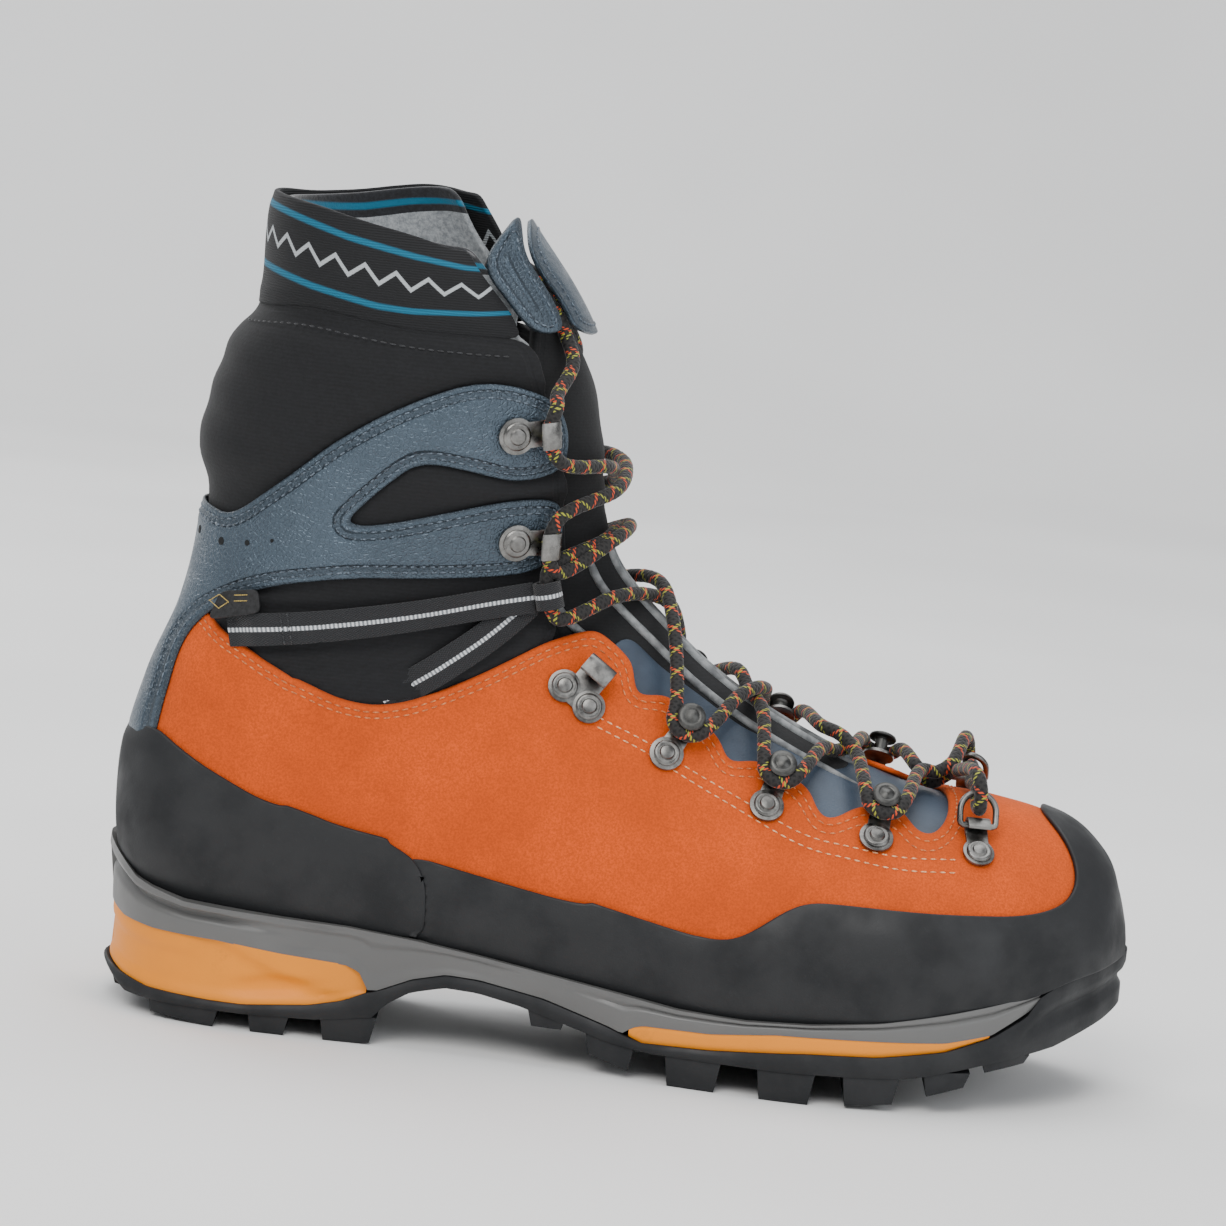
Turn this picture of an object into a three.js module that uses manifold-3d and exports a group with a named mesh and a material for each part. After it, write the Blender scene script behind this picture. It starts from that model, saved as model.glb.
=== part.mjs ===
// A mountaineering boot for the right foot, laced, as an assembly of separate pieces.
// Millimetres. +X points to the toe, -Y to the outer side of the foot, +Z up; the ground is z = 0.
import * as THREE from 'three';
import { mergeVertices } from 'three/addons/utils/BufferGeometryUtils.js';
import Module from 'manifold-3d';

const wasm = await Module();
wasm.setup();

// ---- driving dimensions ----
const GAP = 0.3; // play between pieces that touch
const SPAN = 160; // width of the cutting prisms
const AROUND = 18; // facets around the foot
const ALONG = 20; // facets from toe to collar
const LACE_RADIUS = 2.1;
const PLATE = 1; // sheet metal of the lace hardware
const SOLE_WIDTH = 112;

// Layers of the upper, as distances out from the last's surface.
const LAYER = {
  bootie: [-4.6, -2.2],
  tongue: [-5.0, -2.2],
  stiffener: [-1.9, -0.3],
  skin: [0, 1.8],
  overlay: [2.1, 3.8],
  rand: [2.1, 4.4],
  webbing: [4.1, 5.3],
};

// Sections of the last, fanned from the toe over the instep to the collar. Each runs from its crown
// (front or top) to its base (back or bottom): crown x, z; base x, z; half width on the outer and the
// inner side; sideways shift of the crown; share of the height where it is widest; fullness of the
// crown and of the base.
const SECTIONS = [
  [150.8, 53, 150.8, 43, 5, 9, 6, 0.5, 2.2, 2.2],
  [148.0, 62, 147.0, 39, 14, 20, 6, 0.42, 2.2, 2.6],
  [143.5, 71.5, 140.5, 35, 23, 32, 6, 0.36, 2.2, 3.2],
  [131.0, 81.2, 127.0, 30, 33, 41, 6, 0.33, 2.2, 3.8],
  [112.0, 85.5, 107.0, 25, 44, 48, 6, 0.3, 2.2, 4],
  [92.0, 87.5, 85.0, 20, 50.5, 50, 6, 0.3, 2.1, 4],
  [73.0, 92.5, 60.0, 17, 51, 49, 6, 0.3, 2.0, 4],
  [54.0, 100.0, 34.0, 16, 49, 43, 6, 0.3, 1.9, 4],
  [35.0, 109.5, 8.0, 18, 44, 36.5, 5, 0.3, 1.85, 4],
  [18.0, 120.5, -22.0, 21, 39, 31, 4, 0.3, 1.85, 4],
  [4.0, 132.5, -55.0, 26, 36, 29, 3, 0.3, 1.9, 4],
  [-5.0, 141.0, -95.0, 28, 33.5, 30, 2, 0.3, 2.0, 4],
  [-10.5, 147.5, -128.0, 30, 33, 31, 1, 0.3, 2.1, 3.4],
  [-14.0, 154.0, -148.0, 42, 33, 31.5, 0, 0.3, 2.2, 3],
  [-16.0, 161.0, -152.6, 72, 32.5, 32, 0, 0.35, 2.2, 2.6],
  [-17.3, 168.0, -147.6, 100, 33, 33, 0, 0.4, 2.2, 2.4],
  [-18.3, 175.0, -139.5, 124, 34, 34, 0, 0.42, 2.2, 2.3],
  [-19.5, 184.0, -136.0, 148, 36, 36, 0, 0.45, 2.2, 2.2],
  [-22.5, 197.0, -136.8, 175, 38, 38, 0, 0.48, 2.2, 2.2],
  [-29.0, 212.0, -132.0, 199, 38.5, 38.5, 0, 0.5, 2.2, 2.2],
  [-37.5, 226.0, -126.0, 217, 38, 38, 0, 0.5, 2.2, 2.2],
  [-51.0, 243.0, -124.8, 238, 36.5, 36.5, 0, 0.5, 2.2, 2.2],
  [-64.0, 260.0, -124.2, 262, 35, 35, 0, 0.5, 2.2, 2.2],
];
const COLLAR = SECTIONS.length - 1;

// ---- side-view lines, x and z ----
// Top of the sole, which the upper stands on.
const SOLE_TOP = [
  [-157, 51], [-150, 45.5], [-145, 41.3], [-140, 39.5], [-130, 37], [-120, 36.5], [-100, 35.4],
  [-80, 34.8], [-60, 33], [-40, 30.6], [-20, 27.9], [0, 25.4], [20, 22.9], [40, 22.5], [60, 23.8],
  [80, 26.3], [100, 30.3], [120, 34.6], [128, 36.4], [135, 40.5], [153, 45.2], [157, 46],
];
const HEEL_INSERT_TOP = [
  [-157, 31], [-150, 28], [-140, 27], [-120, 26.6], [-100, 24.7], [-80, 23.6], [-76, 22], [-73, 16.8],
];
const HEEL_INSERT_BASE = [
  [-157, 14], [-150, 11], [-140, 9], [-120, 8.3], [-110, 8.3], [-90, 10.5], [-80, 13], [-73, 16.3],
];
const ARCH_TOP = [[-70, 17], [-60, 21.6], [-50, 24.2], [-40, 23.9], [-20, 20.8], [0, 15.3], [4, 13.8]];
const TOE_INSERT_TOP = [[7, 16], [10, 17], [30, 17.5], [50, 20], [80, 21.2], [100, 22], [114, 24.6]];
const TOE_INSERT_BASE = [[5, 14], [10, 12], [30, 12.8], [60, 15.6], [80, 16.6], [100, 19.5], [114, 24]];
const TOE_BUMPER = [[124, 30], [128, 36.4], [135, 40.5], [153, 45.2]];
// Tread lugs: rear edge and front edge of each foot, with their heights.
const LUGS = [
  [-138, 1.5, -118.5, 0], [-107, 0, -97, 0], [-85, 0, -71, 0.5], [-23, 12, -14, 12], [-5, 6, 7, 2.5],
  [19, 0, 33, 0], [46.5, 0, 61, 0], [72, 0.8, 86, 2.5], [96, 5.5, 107, 8.5], [113, 13, 125, 15.5],
];
const LUG_ROOTS = [6.5, 6.5, 7, 16, 10.5, 9.5, 9.5, 10, 11.5, 16.5]; // tread base behind each lug
const GROOVES = [[-112, -64, -9, 9, 6], [-12, 120, -7, 13, 9]]; // x from, to, y from, to, depth

const RAND_TOP = [
  [-158, 87], [-144, 88], [-140, 84.5], [-130, 79.5], [-120, 75.3], [-110, 72], [-100, 68.8],
  [-80, 63.5], [-60, 58.4], [-40, 54.4], [-20, 51.4], [0, 48.8], [20, 46], [30, 45.6], [35, 46],
  [40, 50], [45, 54.5], [50, 59], [55, 60.5], [120, 60.5], [130, 62], [135, 65], [137, 69],
  [136.5, 74], [134, 79], [130, 83.5], [124, 88], [117, 96],
];
const RAND_SEAM = -57.5;
const SUEDE_TOP = [
  [-160, 124], [-134, 124], [-127, 119.5], [-120, 117], [-110, 112], [-100, 108], [-90, 104.5],
  [-80, 103.3], [-70, 105], [-60, 109.3], [-50, 114], [-40, 119.5], [-30, 125], [-20, 128],
  [-15.5, 128.5], [-8, 123.5], [-3, 119], [-3, 114.3], [-1, 111], [7, 111.7], [25, 100.7],
  [27, 95], [37, 95.8], [53, 89.8], [56, 84], [60, 83], [68, 86], [81, 85.7], [86, 81], [92, 80.5],
  [97, 84], [99, 110], [170, 110],
];
const SUEDE_LEAN = 0.18; // the lacing edge stands higher on the inner side of the foot
const LEAN_FROM = -27; // y where the side-view lines are true
const UNDERLAY = [
  [-12, 124], [-9, 110], [20, 90], [60, 73], [100, 67], [108, 78], [108, 112], [98, 112], [95, 88],
  [80, 88], [58, 91], [30, 102], [5, 117], [-6, 126],
];
const TONGUE_EDGE = [
  [108, 120], [104, 82], [90, 75], [60, 77], [20, 90], [-10, 106], [-28, 122], [-40, 150],
  [-43, 190], [-43, 214], [-44, 226], [-49.5, 236], [-57.5, 246], [-67, 258], [60, 258],
];
// The lining's front edges; above the instep they stand clear of the tongue.
const SHAFT_OPENING = [
  [110, 120], [104.5, 81.5], [90, 74.4], [60, 76.4], [20, 89.4], [-10.4, 105.6], [-28.5, 121.6],
  [-40.6, 150], [-43.6, 190], [-44.5, 212], [-49, 222], [-61, 235], [-69, 245], [-75, 260],
  [-76, 290], [60, 290],
];
const WRAP = [
  [-145, 157], [-135, 154.5], [-130, 153.5], [-125, 156.5], [-120, 161], [-110, 169.5], [-100, 179],
  [-90, 186.3], [-80, 192.5], [-70, 197.6], [-60, 201.6], [-50, 202.5], [-40, 200.5], [-34, 198],
  [-31, 193.5], [-29, 188], [-29, 180], [-31, 177.5], [-35, 174.8], [-45, 172.8], [-55, 175],
  [-70, 176.9], [-75, 175.3], [-80, 170.8], [-90, 160.5], [-93.5, 156.5], [-90, 155.5], [-80, 157.2],
  [-70, 160.2], [-60, 163], [-50, 166], [-40, 168], [-31, 168.3], [-29, 165], [-28, 157],
  [-29, 152], [-33, 147.5], [-40, 145], [-50, 143.5], [-70, 141.5], [-90, 140], [-110, 136],
  [-120, 132.5], [-131, 126], [-134, 123], [-138, 118.5], [-141, 112], [-142.5, 104], [-144.5, 93],
  [-160, 92], [-160, 157],
];
const COLLAR_RIM = [
  [-130, 251], [-110, 248.5], [-100, 246.5], [-80, 243], [-68, 240], [-65, 241], [-61, 235],
  [-50, 223], [-46, 215.5], [-60, 216.5], [-80, 216.5], [-110, 220], [-140, 215.5], [-140, 251],
];
const SHAFT_TOP = [[-145, 214.5], [-110, 219], [-80, 215.5], [-60, 215.5], [-44, 214], [-38, 200]];
const RIM_CUT = [
  [-130, 250], [-110, 247.5], [-100, 245.5], [-80, 242], [-68, 239.5], [-60, 244], [-54, 290],
  [-160, 290], [-160, 250],
];
const STRAP = [
  [-53.5, 250], [-56.5, 244], [-58.5, 239.5], [-58, 235], [-55, 231], [-52, 228], [-47, 222],
  [-43, 218.5], [-39, 217.5], [-35.5, 218.5], [-36.8, 222.8], [-41.5, 230], [-46, 235.5],
  [-50, 241.5], [-52, 250],
];
const TAB = [
  [-51, 258], [-49.5, 246], [-48, 240], [-43.8, 233.5], [-39.5, 229], [-35, 223], [-33, 219],
  [-15, 212], [-15, 285], [-66, 285], [-60, 266],
];
const WEBBING_UPPER = [[-124, 119.5], [-110, 122.5], [-90, 126.5], [-70, 131], [-50, 136], [-37, 138.5]];
const WEBBING_LOWER = [[-77, 103.5], [-70, 108.5], [-60, 116.5], [-50, 124.5], [-42, 132.5], [-38, 137]];
const WEBBING_HALF = 4.7;
const SIDE_TAG = [[-131.5, 122.5], [-115.5, 127], [-117, 134], [-128.5, 131.5]];

// ---- finishes ----
const finish = (color, roughness, metalness = 0) =>
  new THREE.MeshStandardMaterial({ color, roughness, metalness, side: THREE.DoubleSide });
const SUEDE = finish(0xd6692d, 0.9);
const RUBBER = finish(0x2d3034, 0.75);
const GREY_TPU = finish(0x80807e, 0.4);
const ORANGE_EVA = finish(0xf2991c, 0.6);
const WRAP_SKIN = finish(0x606f7c, 0.45);
const UNDERLAY_SKIN = finish(0x485664, 0.5);
const SOFTSHELL = finish(0x1e2024, 0.85);
const LINING = finish(0x8f9396, 0.95);
const BOARD = finish(0xb9ab8c, 0.8);
const STEEL = finish(0x787878, 0.35, 0.9);
const LACE_YARN = finish(0x24211f, 0.85);
const WEBBING = finish(0x26282b, 0.85);
const PLASTIC = finish(0x1d1d1f, 0.5);

// ---- the last's surface ----
function column(index, t) {
  const i = Math.min(Math.floor(t), COLLAR - 1);
  const f = t - i;
  const at = (k) => SECTIONS[Math.max(0, Math.min(COLLAR, k))][index];
  const [a, b, c, d] = [at(i - 1), at(i), at(i + 1), at(i + 2)];
  return b + 0.5 * f * (c - a + f * (2 * a - 5 * b + 4 * c - d + f * (3 * (b - c) + d - a)));
}

// t runs from the toe, 0, to the collar; angle from the crown, 0, over the outer side to the base, pi.
function bare(t, angle) {
  const [tx, tz, bx, bz, outer, inner, shift, share, crown, base] =
    SECTIONS[0].map((_, index) => column(index, t));
  const c = Math.cos(angle);
  const s = Math.sin(angle);
  const power = 2 / (c >= 0 ? crown : base);
  const rise = Math.sign(c) * Math.abs(c) ** power;
  const height = share + rise * (c >= 0 ? 1 - share : share);
  const width = (s >= 0 ? outer : inner) * Math.abs(s) ** power;
  const y = (s >= 0 ? -width : width) + shift * Math.max(0, rise);
  return new THREE.Vector3(bx + (tx - bx) * height, y, bz + (tz - bz) * height);
}

function outward(t, angle) {
  const step = 0.02;
  const t0 = Math.max(0, t - step);
  const t1 = Math.min(COLLAR, t + step);
  const alongT = bare(t1, angle).sub(bare(t0, angle));
  const aroundT = bare(t, angle + step).sub(bare(t, angle - step));
  return alongT.cross(aroundT).normalize();
}

function surface(t, angle, offset) {
  return bare(t, angle).addScaledVector(outward(t, angle), offset);
}

// The point of the last seen at (x, z) from the side: side is -1 outer, 1 inner.
function locate(x, z, side) {
  const miss = (t, angle) => {
    const p = bare(t, angle);
    return (p.x - x) ** 2 + (p.z - z) ** 2;
  };
  const turn = (angle) => (side < 0 ? angle : -angle);
  let best = [0, 0, Infinity];
  for (let t = 0; t <= COLLAR; t += 0.25) {
    for (let angle = 0.05; angle < 3.1; angle += 0.08) {
      const m = miss(t, turn(angle));
      if (m < best[2]) best = [t, angle, m];
    }
  }
  for (let step = 0.12; step > 1e-4; step *= 0.6) {
    for (const [dt, da] of [[2, 0], [-2, 0], [0, 1], [0, -1], [2, 1], [-2, -1], [2, -1], [-2, 1]]) {
      const t = Math.max(0, Math.min(COLLAR, best[0] + dt * step));
      const angle = Math.max(0.01, Math.min(3.13, best[1] + da * step));
      const m = miss(t, turn(angle));
      if (m < best[2]) best = [t, angle, m];
    }
  }
  return { t: best[0], angle: turn(best[1]) };
}

function pointAt(x, z, side, offset) {
  const { t, angle } = locate(x, z, side);
  return surface(t, angle, offset);
}

// ---- solids ----
function indexed(points, faces) {
  let volume = 0;
  for (const [a, b, c] of faces) {
    volume += points[a].dot(points[b].clone().cross(points[c]));
  }
  const turned = volume < 0 ? faces.map(([a, b, c]) => [a, c, b]) : faces;
  return new wasm.Manifold(new wasm.Mesh({
    numProp: 3,
    vertProperties: new Float32Array(points.flatMap((p) => [p.x, p.y, p.z])),
    triVerts: new Uint32Array(turned.flat()),
  }));
}

function rings(offset) {
  const depth = typeof offset === 'function' ? offset : () => offset;
  const points = [];
  for (let i = 0; i <= ALONG; i++) {
    const t = (COLLAR * i) / ALONG;
    for (let j = 0; j < AROUND; j++) {
      const angle = (2 * Math.PI * j) / AROUND;
      points.push(surface(t, angle, depth(angle)));
    }
  }
  const toe = bare(0, 0).add(bare(0, Math.PI)).multiplyScalar(0.5);
  points.push(toe.add(new THREE.Vector3(depth(0), 0, 0)));
  return points;
}

function ringFaces(start) {
  const faces = [];
  const at = (i, j) => start + i * AROUND + (j % AROUND);
  const toe = start + (ALONG + 1) * AROUND;
  for (let j = 0; j < AROUND; j++) {
    faces.push([toe, at(0, j), at(0, j + 1)]);
    for (let i = 0; i < ALONG; i++) {
      faces.push([at(i, j), at(i + 1, j), at(i + 1, j + 1)]);
      faces.push([at(i, j), at(i + 1, j + 1), at(i, j + 1)]);
    }
  }
  return faces;
}

// A wall of the upper between two offsets, open at the collar.
function wall(inner, outer) {
  const points = [...rings(outer), ...rings(inner)];
  const count = (ALONG + 1) * AROUND + 1;
  const faces = ringFaces(0);
  for (const [a, b, c] of ringFaces(count)) faces.push([a, c, b]);
  const rim = ALONG * AROUND;
  for (let j = 0; j < AROUND; j++) {
    const k = (j + 1) % AROUND;
    faces.push([rim + j, count + rim + j, count + rim + k]);
    faces.push([rim + j, count + rim + k, rim + k]);
  }
  return indexed(points, faces);
}

// Everything inside the last at an offset.
function filled(offset) {
  const points = rings(offset);
  const rim = ALONG * AROUND;
  const middle = new THREE.Vector3();
  for (let j = 0; j < AROUND; j++) middle.addScaledVector(points[rim + j], 1 / AROUND);
  points.push(middle);
  const faces = ringFaces(0);
  for (let j = 0; j < AROUND; j++) faces.push([rim + j, points.length - 1, rim + ((j + 1) % AROUND)]);
  return indexed(points, faces);
}

function solid(geometry) {
  const bareGeometry = geometry.clone();
  bareGeometry.deleteAttribute('normal');
  bareGeometry.deleteAttribute('uv');
  const merged = mergeVertices(bareGeometry, 1e-4);
  return new wasm.Manifold(new wasm.Mesh({
    numProp: 3,
    vertProperties: new Float32Array(merged.attributes.position.array),
    triVerts: new Uint32Array(merged.index.array),
  }));
}

function shapeOf(outline) {
  return new THREE.Shape(outline.map(([x, y]) => new THREE.Vector2(x, y)));
}

// A side-view outline carried across the boot. lean raises it towards the inner side.
function across(outline, lean = 0) {
  const geometry = new THREE.ExtrudeGeometry(shapeOf(outline), { depth: SPAN, bevelEnabled: false });
  geometry.rotateX(Math.PI / 2).translate(0, SPAN / 2, 0);
  const place = geometry.attributes.position;
  for (let i = 0; i < place.count; i++) {
    place.setZ(i, place.getZ(i) + lean * (place.getY(i) - LEAN_FROM));
  }
  return solid(geometry);
}

const below = (line, floor = -10) => [...line, [line.at(-1)[0], floor], [line[0][0], floor]];
const lifted = (line, by) => line.map(([x, z]) => [x, z + by]);
const between = (top, base) => [...top, ...[...base].reverse()];

// A closed outline with its edges moved out, or in where by is negative.
function grown(outline, by) {
  const next = (i) => outline[(i + 1) % outline.length];
  const turn = Math.sign(outline.reduce((sum, [x, y], i) => sum + x * next(i)[1] - next(i)[0] * y, 0));
  return outline.map(([x, y], i) => {
    const [x0, y0] = outline.at(i - 1);
    const [x1, y1] = next(i);
    const length = Math.hypot(x1 - x0, y1 - y0);
    return [x + (turn * by * (y1 - y0)) / length, y - (turn * by * (x1 - x0)) / length];
  });
}

// A strip of one width along a side-view line.
function strip(line, half) {
  const left = [];
  const right = [];
  line.forEach(([x, z], i) => {
    const [x0, z0] = line[Math.max(0, i - 1)];
    const [x1, z1] = line[Math.min(line.length - 1, i + 1)];
    const length = Math.hypot(x1 - x0, z1 - z0);
    const [nx, nz] = [-(z1 - z0) / length, (x1 - x0) / length];
    left.push([x + nx * half, z + nz * half]);
    right.push([x - nx * half, z - nz * half]);
  });
  return between(left, right);
}

const boot = new THREE.Group();

function add(name, body, material) {
  const pieces = body.decompose().sort((a, b) => b.volume() - a.volume());
  const mesh = pieces[0].getMesh();
  const geometry = new THREE.BufferGeometry();
  geometry.setAttribute('position', new THREE.BufferAttribute(new Float32Array(mesh.vertProperties), 3));
  geometry.setIndex(new THREE.BufferAttribute(new Uint32Array(mesh.triVerts), 1));
  const flat = geometry.toNonIndexed();
  flat.computeVertexNormals();
  const node = new THREE.Mesh(flat, material);
  node.name = name;
  boot.add(node);
  return node;
}

// ---- sole unit ----
const SOLE_PLAN = [
  [-157, 0], [-152, -18], [-140, -30.5], [-120, -36.5], [-90, -38], [-60, -38.5], [-20, -42.5],
  [20, -50.5], [48, -55.4], [68, -SOLE_WIDTH / 2], [88, -54.8], [108, -49.5], [128, -37.5],
  [145, -20], [154, -5], [157, 6], [153.5, 22], [143, 36.5], [125, 48.5], [103, 54.6],
  [84, SOLE_WIDTH / 2], [62, 53.8], [20, 42], [-20, 33.5], [-60, 32.5], [-90, 35], [-120, 36.5],
  [-140, 30.5], [-152, 18],
];

// The sole's plan as a tall prism, drawn in by inset.
function footprint(inset) {
  const outline = grown(SOLE_PLAN, -inset);
  const geometry = new THREE.ExtrudeGeometry(shapeOf(outline), { depth: 90, bevelEnabled: false });
  return solid(geometry.translate(0, 0, -5));
}

function outsoleProfile() {
  const top = [
    ...lifted(HEEL_INSERT_BASE, -GAP), ...lifted(ARCH_TOP, -GAP), ...lifted(TOE_INSERT_BASE, -GAP),
    ...lifted(TOE_BUMPER, -GAP), [158, 45], [158, 27],
  ];
  const tread = [[-158, 14], [-154, 7], [-147, 3]];
  LUGS.forEach(([x0, z0, x1, z1], i) => {
    const root = LUG_ROOTS[i];
    if (i > 0) tread.push([x0 - 2, root]);
    tread.push([x0, z0], [x1, z1], [x1 + 2, root + 0.5]);
    if (i === 2) tread.push([-67, 13.5], [-60, 17.6], [-50, 20.4], [-40, 20], [-27, 18]);
  });
  tread.push([134, 18.5], [150, 25]);
  return between(top, tread);
}

function addSole() {
  let outsole = across(outsoleProfile()).intersect(footprint(0));
  for (const [x0, x1, y0, y1, top] of GROOVES) {
    const box = new THREE.BoxGeometry(x1 - x0, y1 - y0, top + 5);
    outsole = outsole.subtract(solid(box.translate((x0 + x1) / 2, (y0 + y1) / 2, (top - 5) / 2)));
  }
  add('outsole', outsole, RUBBER);
  const heelCushion = between(HEEL_INSERT_TOP, HEEL_INSERT_BASE);
  add('heel_midsole_insert', across(heelCushion).intersect(footprint(1.2)), ORANGE_EVA);
  const toeCushion = between(TOE_INSERT_TOP, TOE_INSERT_BASE);
  add('forefoot_midsole_insert', across(toeCushion).intersect(footprint(1.2)), ORANGE_EVA);

  const frameTop = [...SOLE_TOP.filter(([x]) => x < 128), [127.5, 36.4]];
  const frameBase = [
    ...lifted(HEEL_INSERT_TOP, GAP), ...lifted(ARCH_TOP, 0), ...lifted(TOE_INSERT_TOP, GAP),
    [123.5, 30.5],
  ];
  const shankLine = [[-118, 34], [-80, 32.6], [-40, 28.4], [0, 23.2], [25, 20.6]];
  const pocket = across(between(lifted(shankLine, 6), lifted(shankLine, -2.6)));
  const slot = new THREE.BoxGeometry(150, 22, 90).translate(-45, -1, 40);
  const frame = across(between(frameTop, frameBase)).intersect(footprint(0.6));
  add('midsole_frame', frame.subtract(pocket.intersect(solid(slot))), GREY_TPU);
  const bar = new THREE.BoxGeometry(140, 21.4, 90).translate(-46, -1, 40);
  const shank = across(between(lifted(shankLine, -0.4), lifted(shankLine, -2.3)));
  add('steel_shank', shank.intersect(solid(bar)), STEEL);
}

// ---- layers of the upper ----
const standing = across(below([[-160, 300], [160, 300]], 0)).subtract(across(below(lifted(SOLE_TOP, GAP))));
const holds = (line, from, to) => across(between(lifted(line, to), lifted(line, from)));

function addInside() {
  add('lasting_board', filled(-0.4).intersect(holds(SOLE_TOP, 0.4, 2.4)), BOARD);
  add('footbed', filled(-5).intersect(holds(SOLE_TOP, 3, 6.6)), LINING);
  const foot = wall(...LAYER.bootie);
  const aboveBoard = across(below(lifted(SOLE_TOP, 2.8)));
  const tongueZone = across(TONGUE_EDGE);
  const opening = across(SHAFT_OPENING);
  const rim = across(RIM_CUT);
  add('inner_bootie', foot.subtract(aboveBoard).subtract(opening).subtract(rim), LINING);
  add('tongue', wall(...LAYER.tongue).intersect(tongueZone), SOFTSHELL);
  const stiffener = wall(...LAYER.stiffener).subtract(across(below(lifted(SOLE_TOP, 2.8))));
  const toeRoom = [[114, 20], [160, 20], [160, 100], [122, 100]];
  add('toe_puff', stiffener.intersect(across(toeRoom)), BOARD);
  const heelRoom = [[-160, 30], [-92, 30], [-100, 60], [-120, 88], [-160, 98]];
  add('heel_counter', stiffener.intersect(across(heelRoom)), BOARD);
  add('eyestay_underlay', stiffener.intersect(across(UNDERLAY, SUEDE_LEAN)), UNDERLAY_SKIN);
}

function addSkins() {
  const skin = wall(...LAYER.skin).intersect(standing);
  add('suede_upper', skin.intersect(across(below(SUEDE_TOP), SUEDE_LEAN)), SUEDE);
  const shaftRoom = [...SHAFT_TOP, [-31, 180], [-27, 150], [-28, 131], [-28, 60], [-160, 60], [-160, 212]];
  const shaft = skin.subtract(across(below(lifted(SUEDE_TOP, 0.5)), SUEDE_LEAN));
  add('shaft_softshell', shaft.intersect(across(shaftRoom)), SOFTSHELL);
  add('collar_band', skin.intersect(across(COLLAR_RIM)), SOFTSHELL);
  add('ankle_wrap', wall(...LAYER.overlay).intersect(across(WRAP)), WRAP_SKIN);
  const rand = wall(...LAYER.rand).intersect(standing);
  const front = RAND_TOP.filter(([x]) => x > RAND_SEAM);
  const frontRoom = across([[RAND_SEAM + 0.2, 58], ...front, [170, 96], [170, 0], [RAND_SEAM + 0.2, 0]]);
  add('rand_front', rand.intersect(frontRoom), RUBBER);
  const back = RAND_TOP.filter(([x]) => x < RAND_SEAM);
  const backRoom = across([...back, [RAND_SEAM - 0.2, 57.6], [RAND_SEAM - 0.2, 0], [-170, 0], [-170, 87]]);
  add('rand_heel', rand.intersect(backRoom), RUBBER);
}

function addCollarPieces() {
  const outerHalf = new THREE.BoxGeometry(400, SPAN, 400).translate(0, -SPAN / 2, 200);
  // The strap and the tab stand off the tongue at its middle, where the lace ends pass behind it.
  const bulge = (angle) => {
    const away = Math.abs(Math.atan2(Math.sin(angle), Math.cos(angle)));
    return 2.6 * THREE.MathUtils.smoothstep(0.95 - away, 0, 0.5);
  };
  const [inside, outside] = LAYER.overlay;
  const flap = wall((angle) => inside + bulge(angle), (angle) => outside + bulge(angle));
  add('collar_strap', flap.intersect(across(STRAP)).intersect(solid(outerHalf)), WRAP_SKIN);
  add('tongue_tab', flap.intersect(across(TAB)), WRAP_SKIN);
}

// ---- seats for the hardware ----
// A frame on the boot: origin at (x, z) seen from the side, Z out, X towards a second point.
function seat(side, [x, z], [toX, toZ], offset) {
  const { t, angle } = locate(x, z, side);
  const up = outward(t, angle);
  const origin = surface(t, angle, offset);
  const ahead = pointAt(toX, toZ, side, offset).sub(origin);
  ahead.addScaledVector(up, -ahead.dot(up)).normalize();
  const sideways = up.clone().cross(ahead);
  return new THREE.Matrix4().makeBasis(ahead, sideways, up).setPosition(origin);
}

// Points of a fitting, higher on the inner side of the foot only.
const raised = (points, by) => points.map(([x, z]) => [x, z + Math.max(0, by)]);

function place(name, body, matrix, material) {
  add(name, body.transform(matrix.elements), material);
}

// A plate with a curled end, seen from its edge: the lace or ring lies in the curl.
function curl(rear, stem, height, lip) {
  const top = PLATE + height;
  return [
    [rear, 0], [stem - 1.5, 0], [stem, 1.2], [stem, top - 0.8], [stem - 1.4, top + PLATE],
    [lip, top + PLATE], [lip, top], [stem - 1.8, top], [stem - PLATE, top - 1.2],
    [stem - PLATE, PLATE + 0.9], [stem - 1.9, PLATE], [rear, PLATE],
  ];
}

function edgeways(outline, width) {
  const geometry = new THREE.ExtrudeGeometry(shapeOf(outline), { depth: width, bevelEnabled: false });
  return solid(geometry.rotateX(Math.PI / 2).translate(0, width / 2, 0));
}

function disc(radius, from, to, x = 0, y = 0, sides = 8) {
  const geometry = new THREE.CylinderGeometry(radius, radius, to - from, sides);
  return solid(geometry.rotateX(Math.PI / 2).translate(x, y, (from + to) / 2));
}

// A rivet: shank through the plate and a low domed head on it.
function rivet(headRadius, x, y) {
  const profile = [
    [0, 0], [1.5, 0], [1.5, PLATE + 0.2], [headRadius, PLATE + 0.2], [headRadius, PLATE + 0.9],
    [headRadius * 0.6, PLATE + 1.6], [0, PLATE + 1.9],
  ];
  const points = profile.map(([r, z]) => new THREE.Vector2(r, z));
  return solid(new THREE.LatheGeometry(points, 8).rotateX(Math.PI / 2).translate(x, y, 0));
}

const SIDES = [['outer', -1], ['inner', 1]];
const EYELET_RISE = 9; // the inner row stands higher
const RING_RISE = 6.3;
const HOOK_STEM = 13; // from the rivet to the bend
const HOOK_OFFSET = LAYER.overlay[1] + 0.5;
const EYELET_OFFSET = LAYER.skin[1] + 0.5;
const HOOKS = [['upper_hook', [-47, 187.5], [-34, 190]], ['lower_hook', [-44, 155.5], [-31, 156.5]]];
const EYELETS = [[[73.5, 76.5], [75, 85.5]], [[40, 82.8], [43.5, 93.3]], [[8.5, 95], [15.5, 106.3]]];
const LOCK_HOOK = [[-20, 109.5], [-13, 119]];
const D_RING = [[104.5, 74.5], [101.5, 84]];

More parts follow.
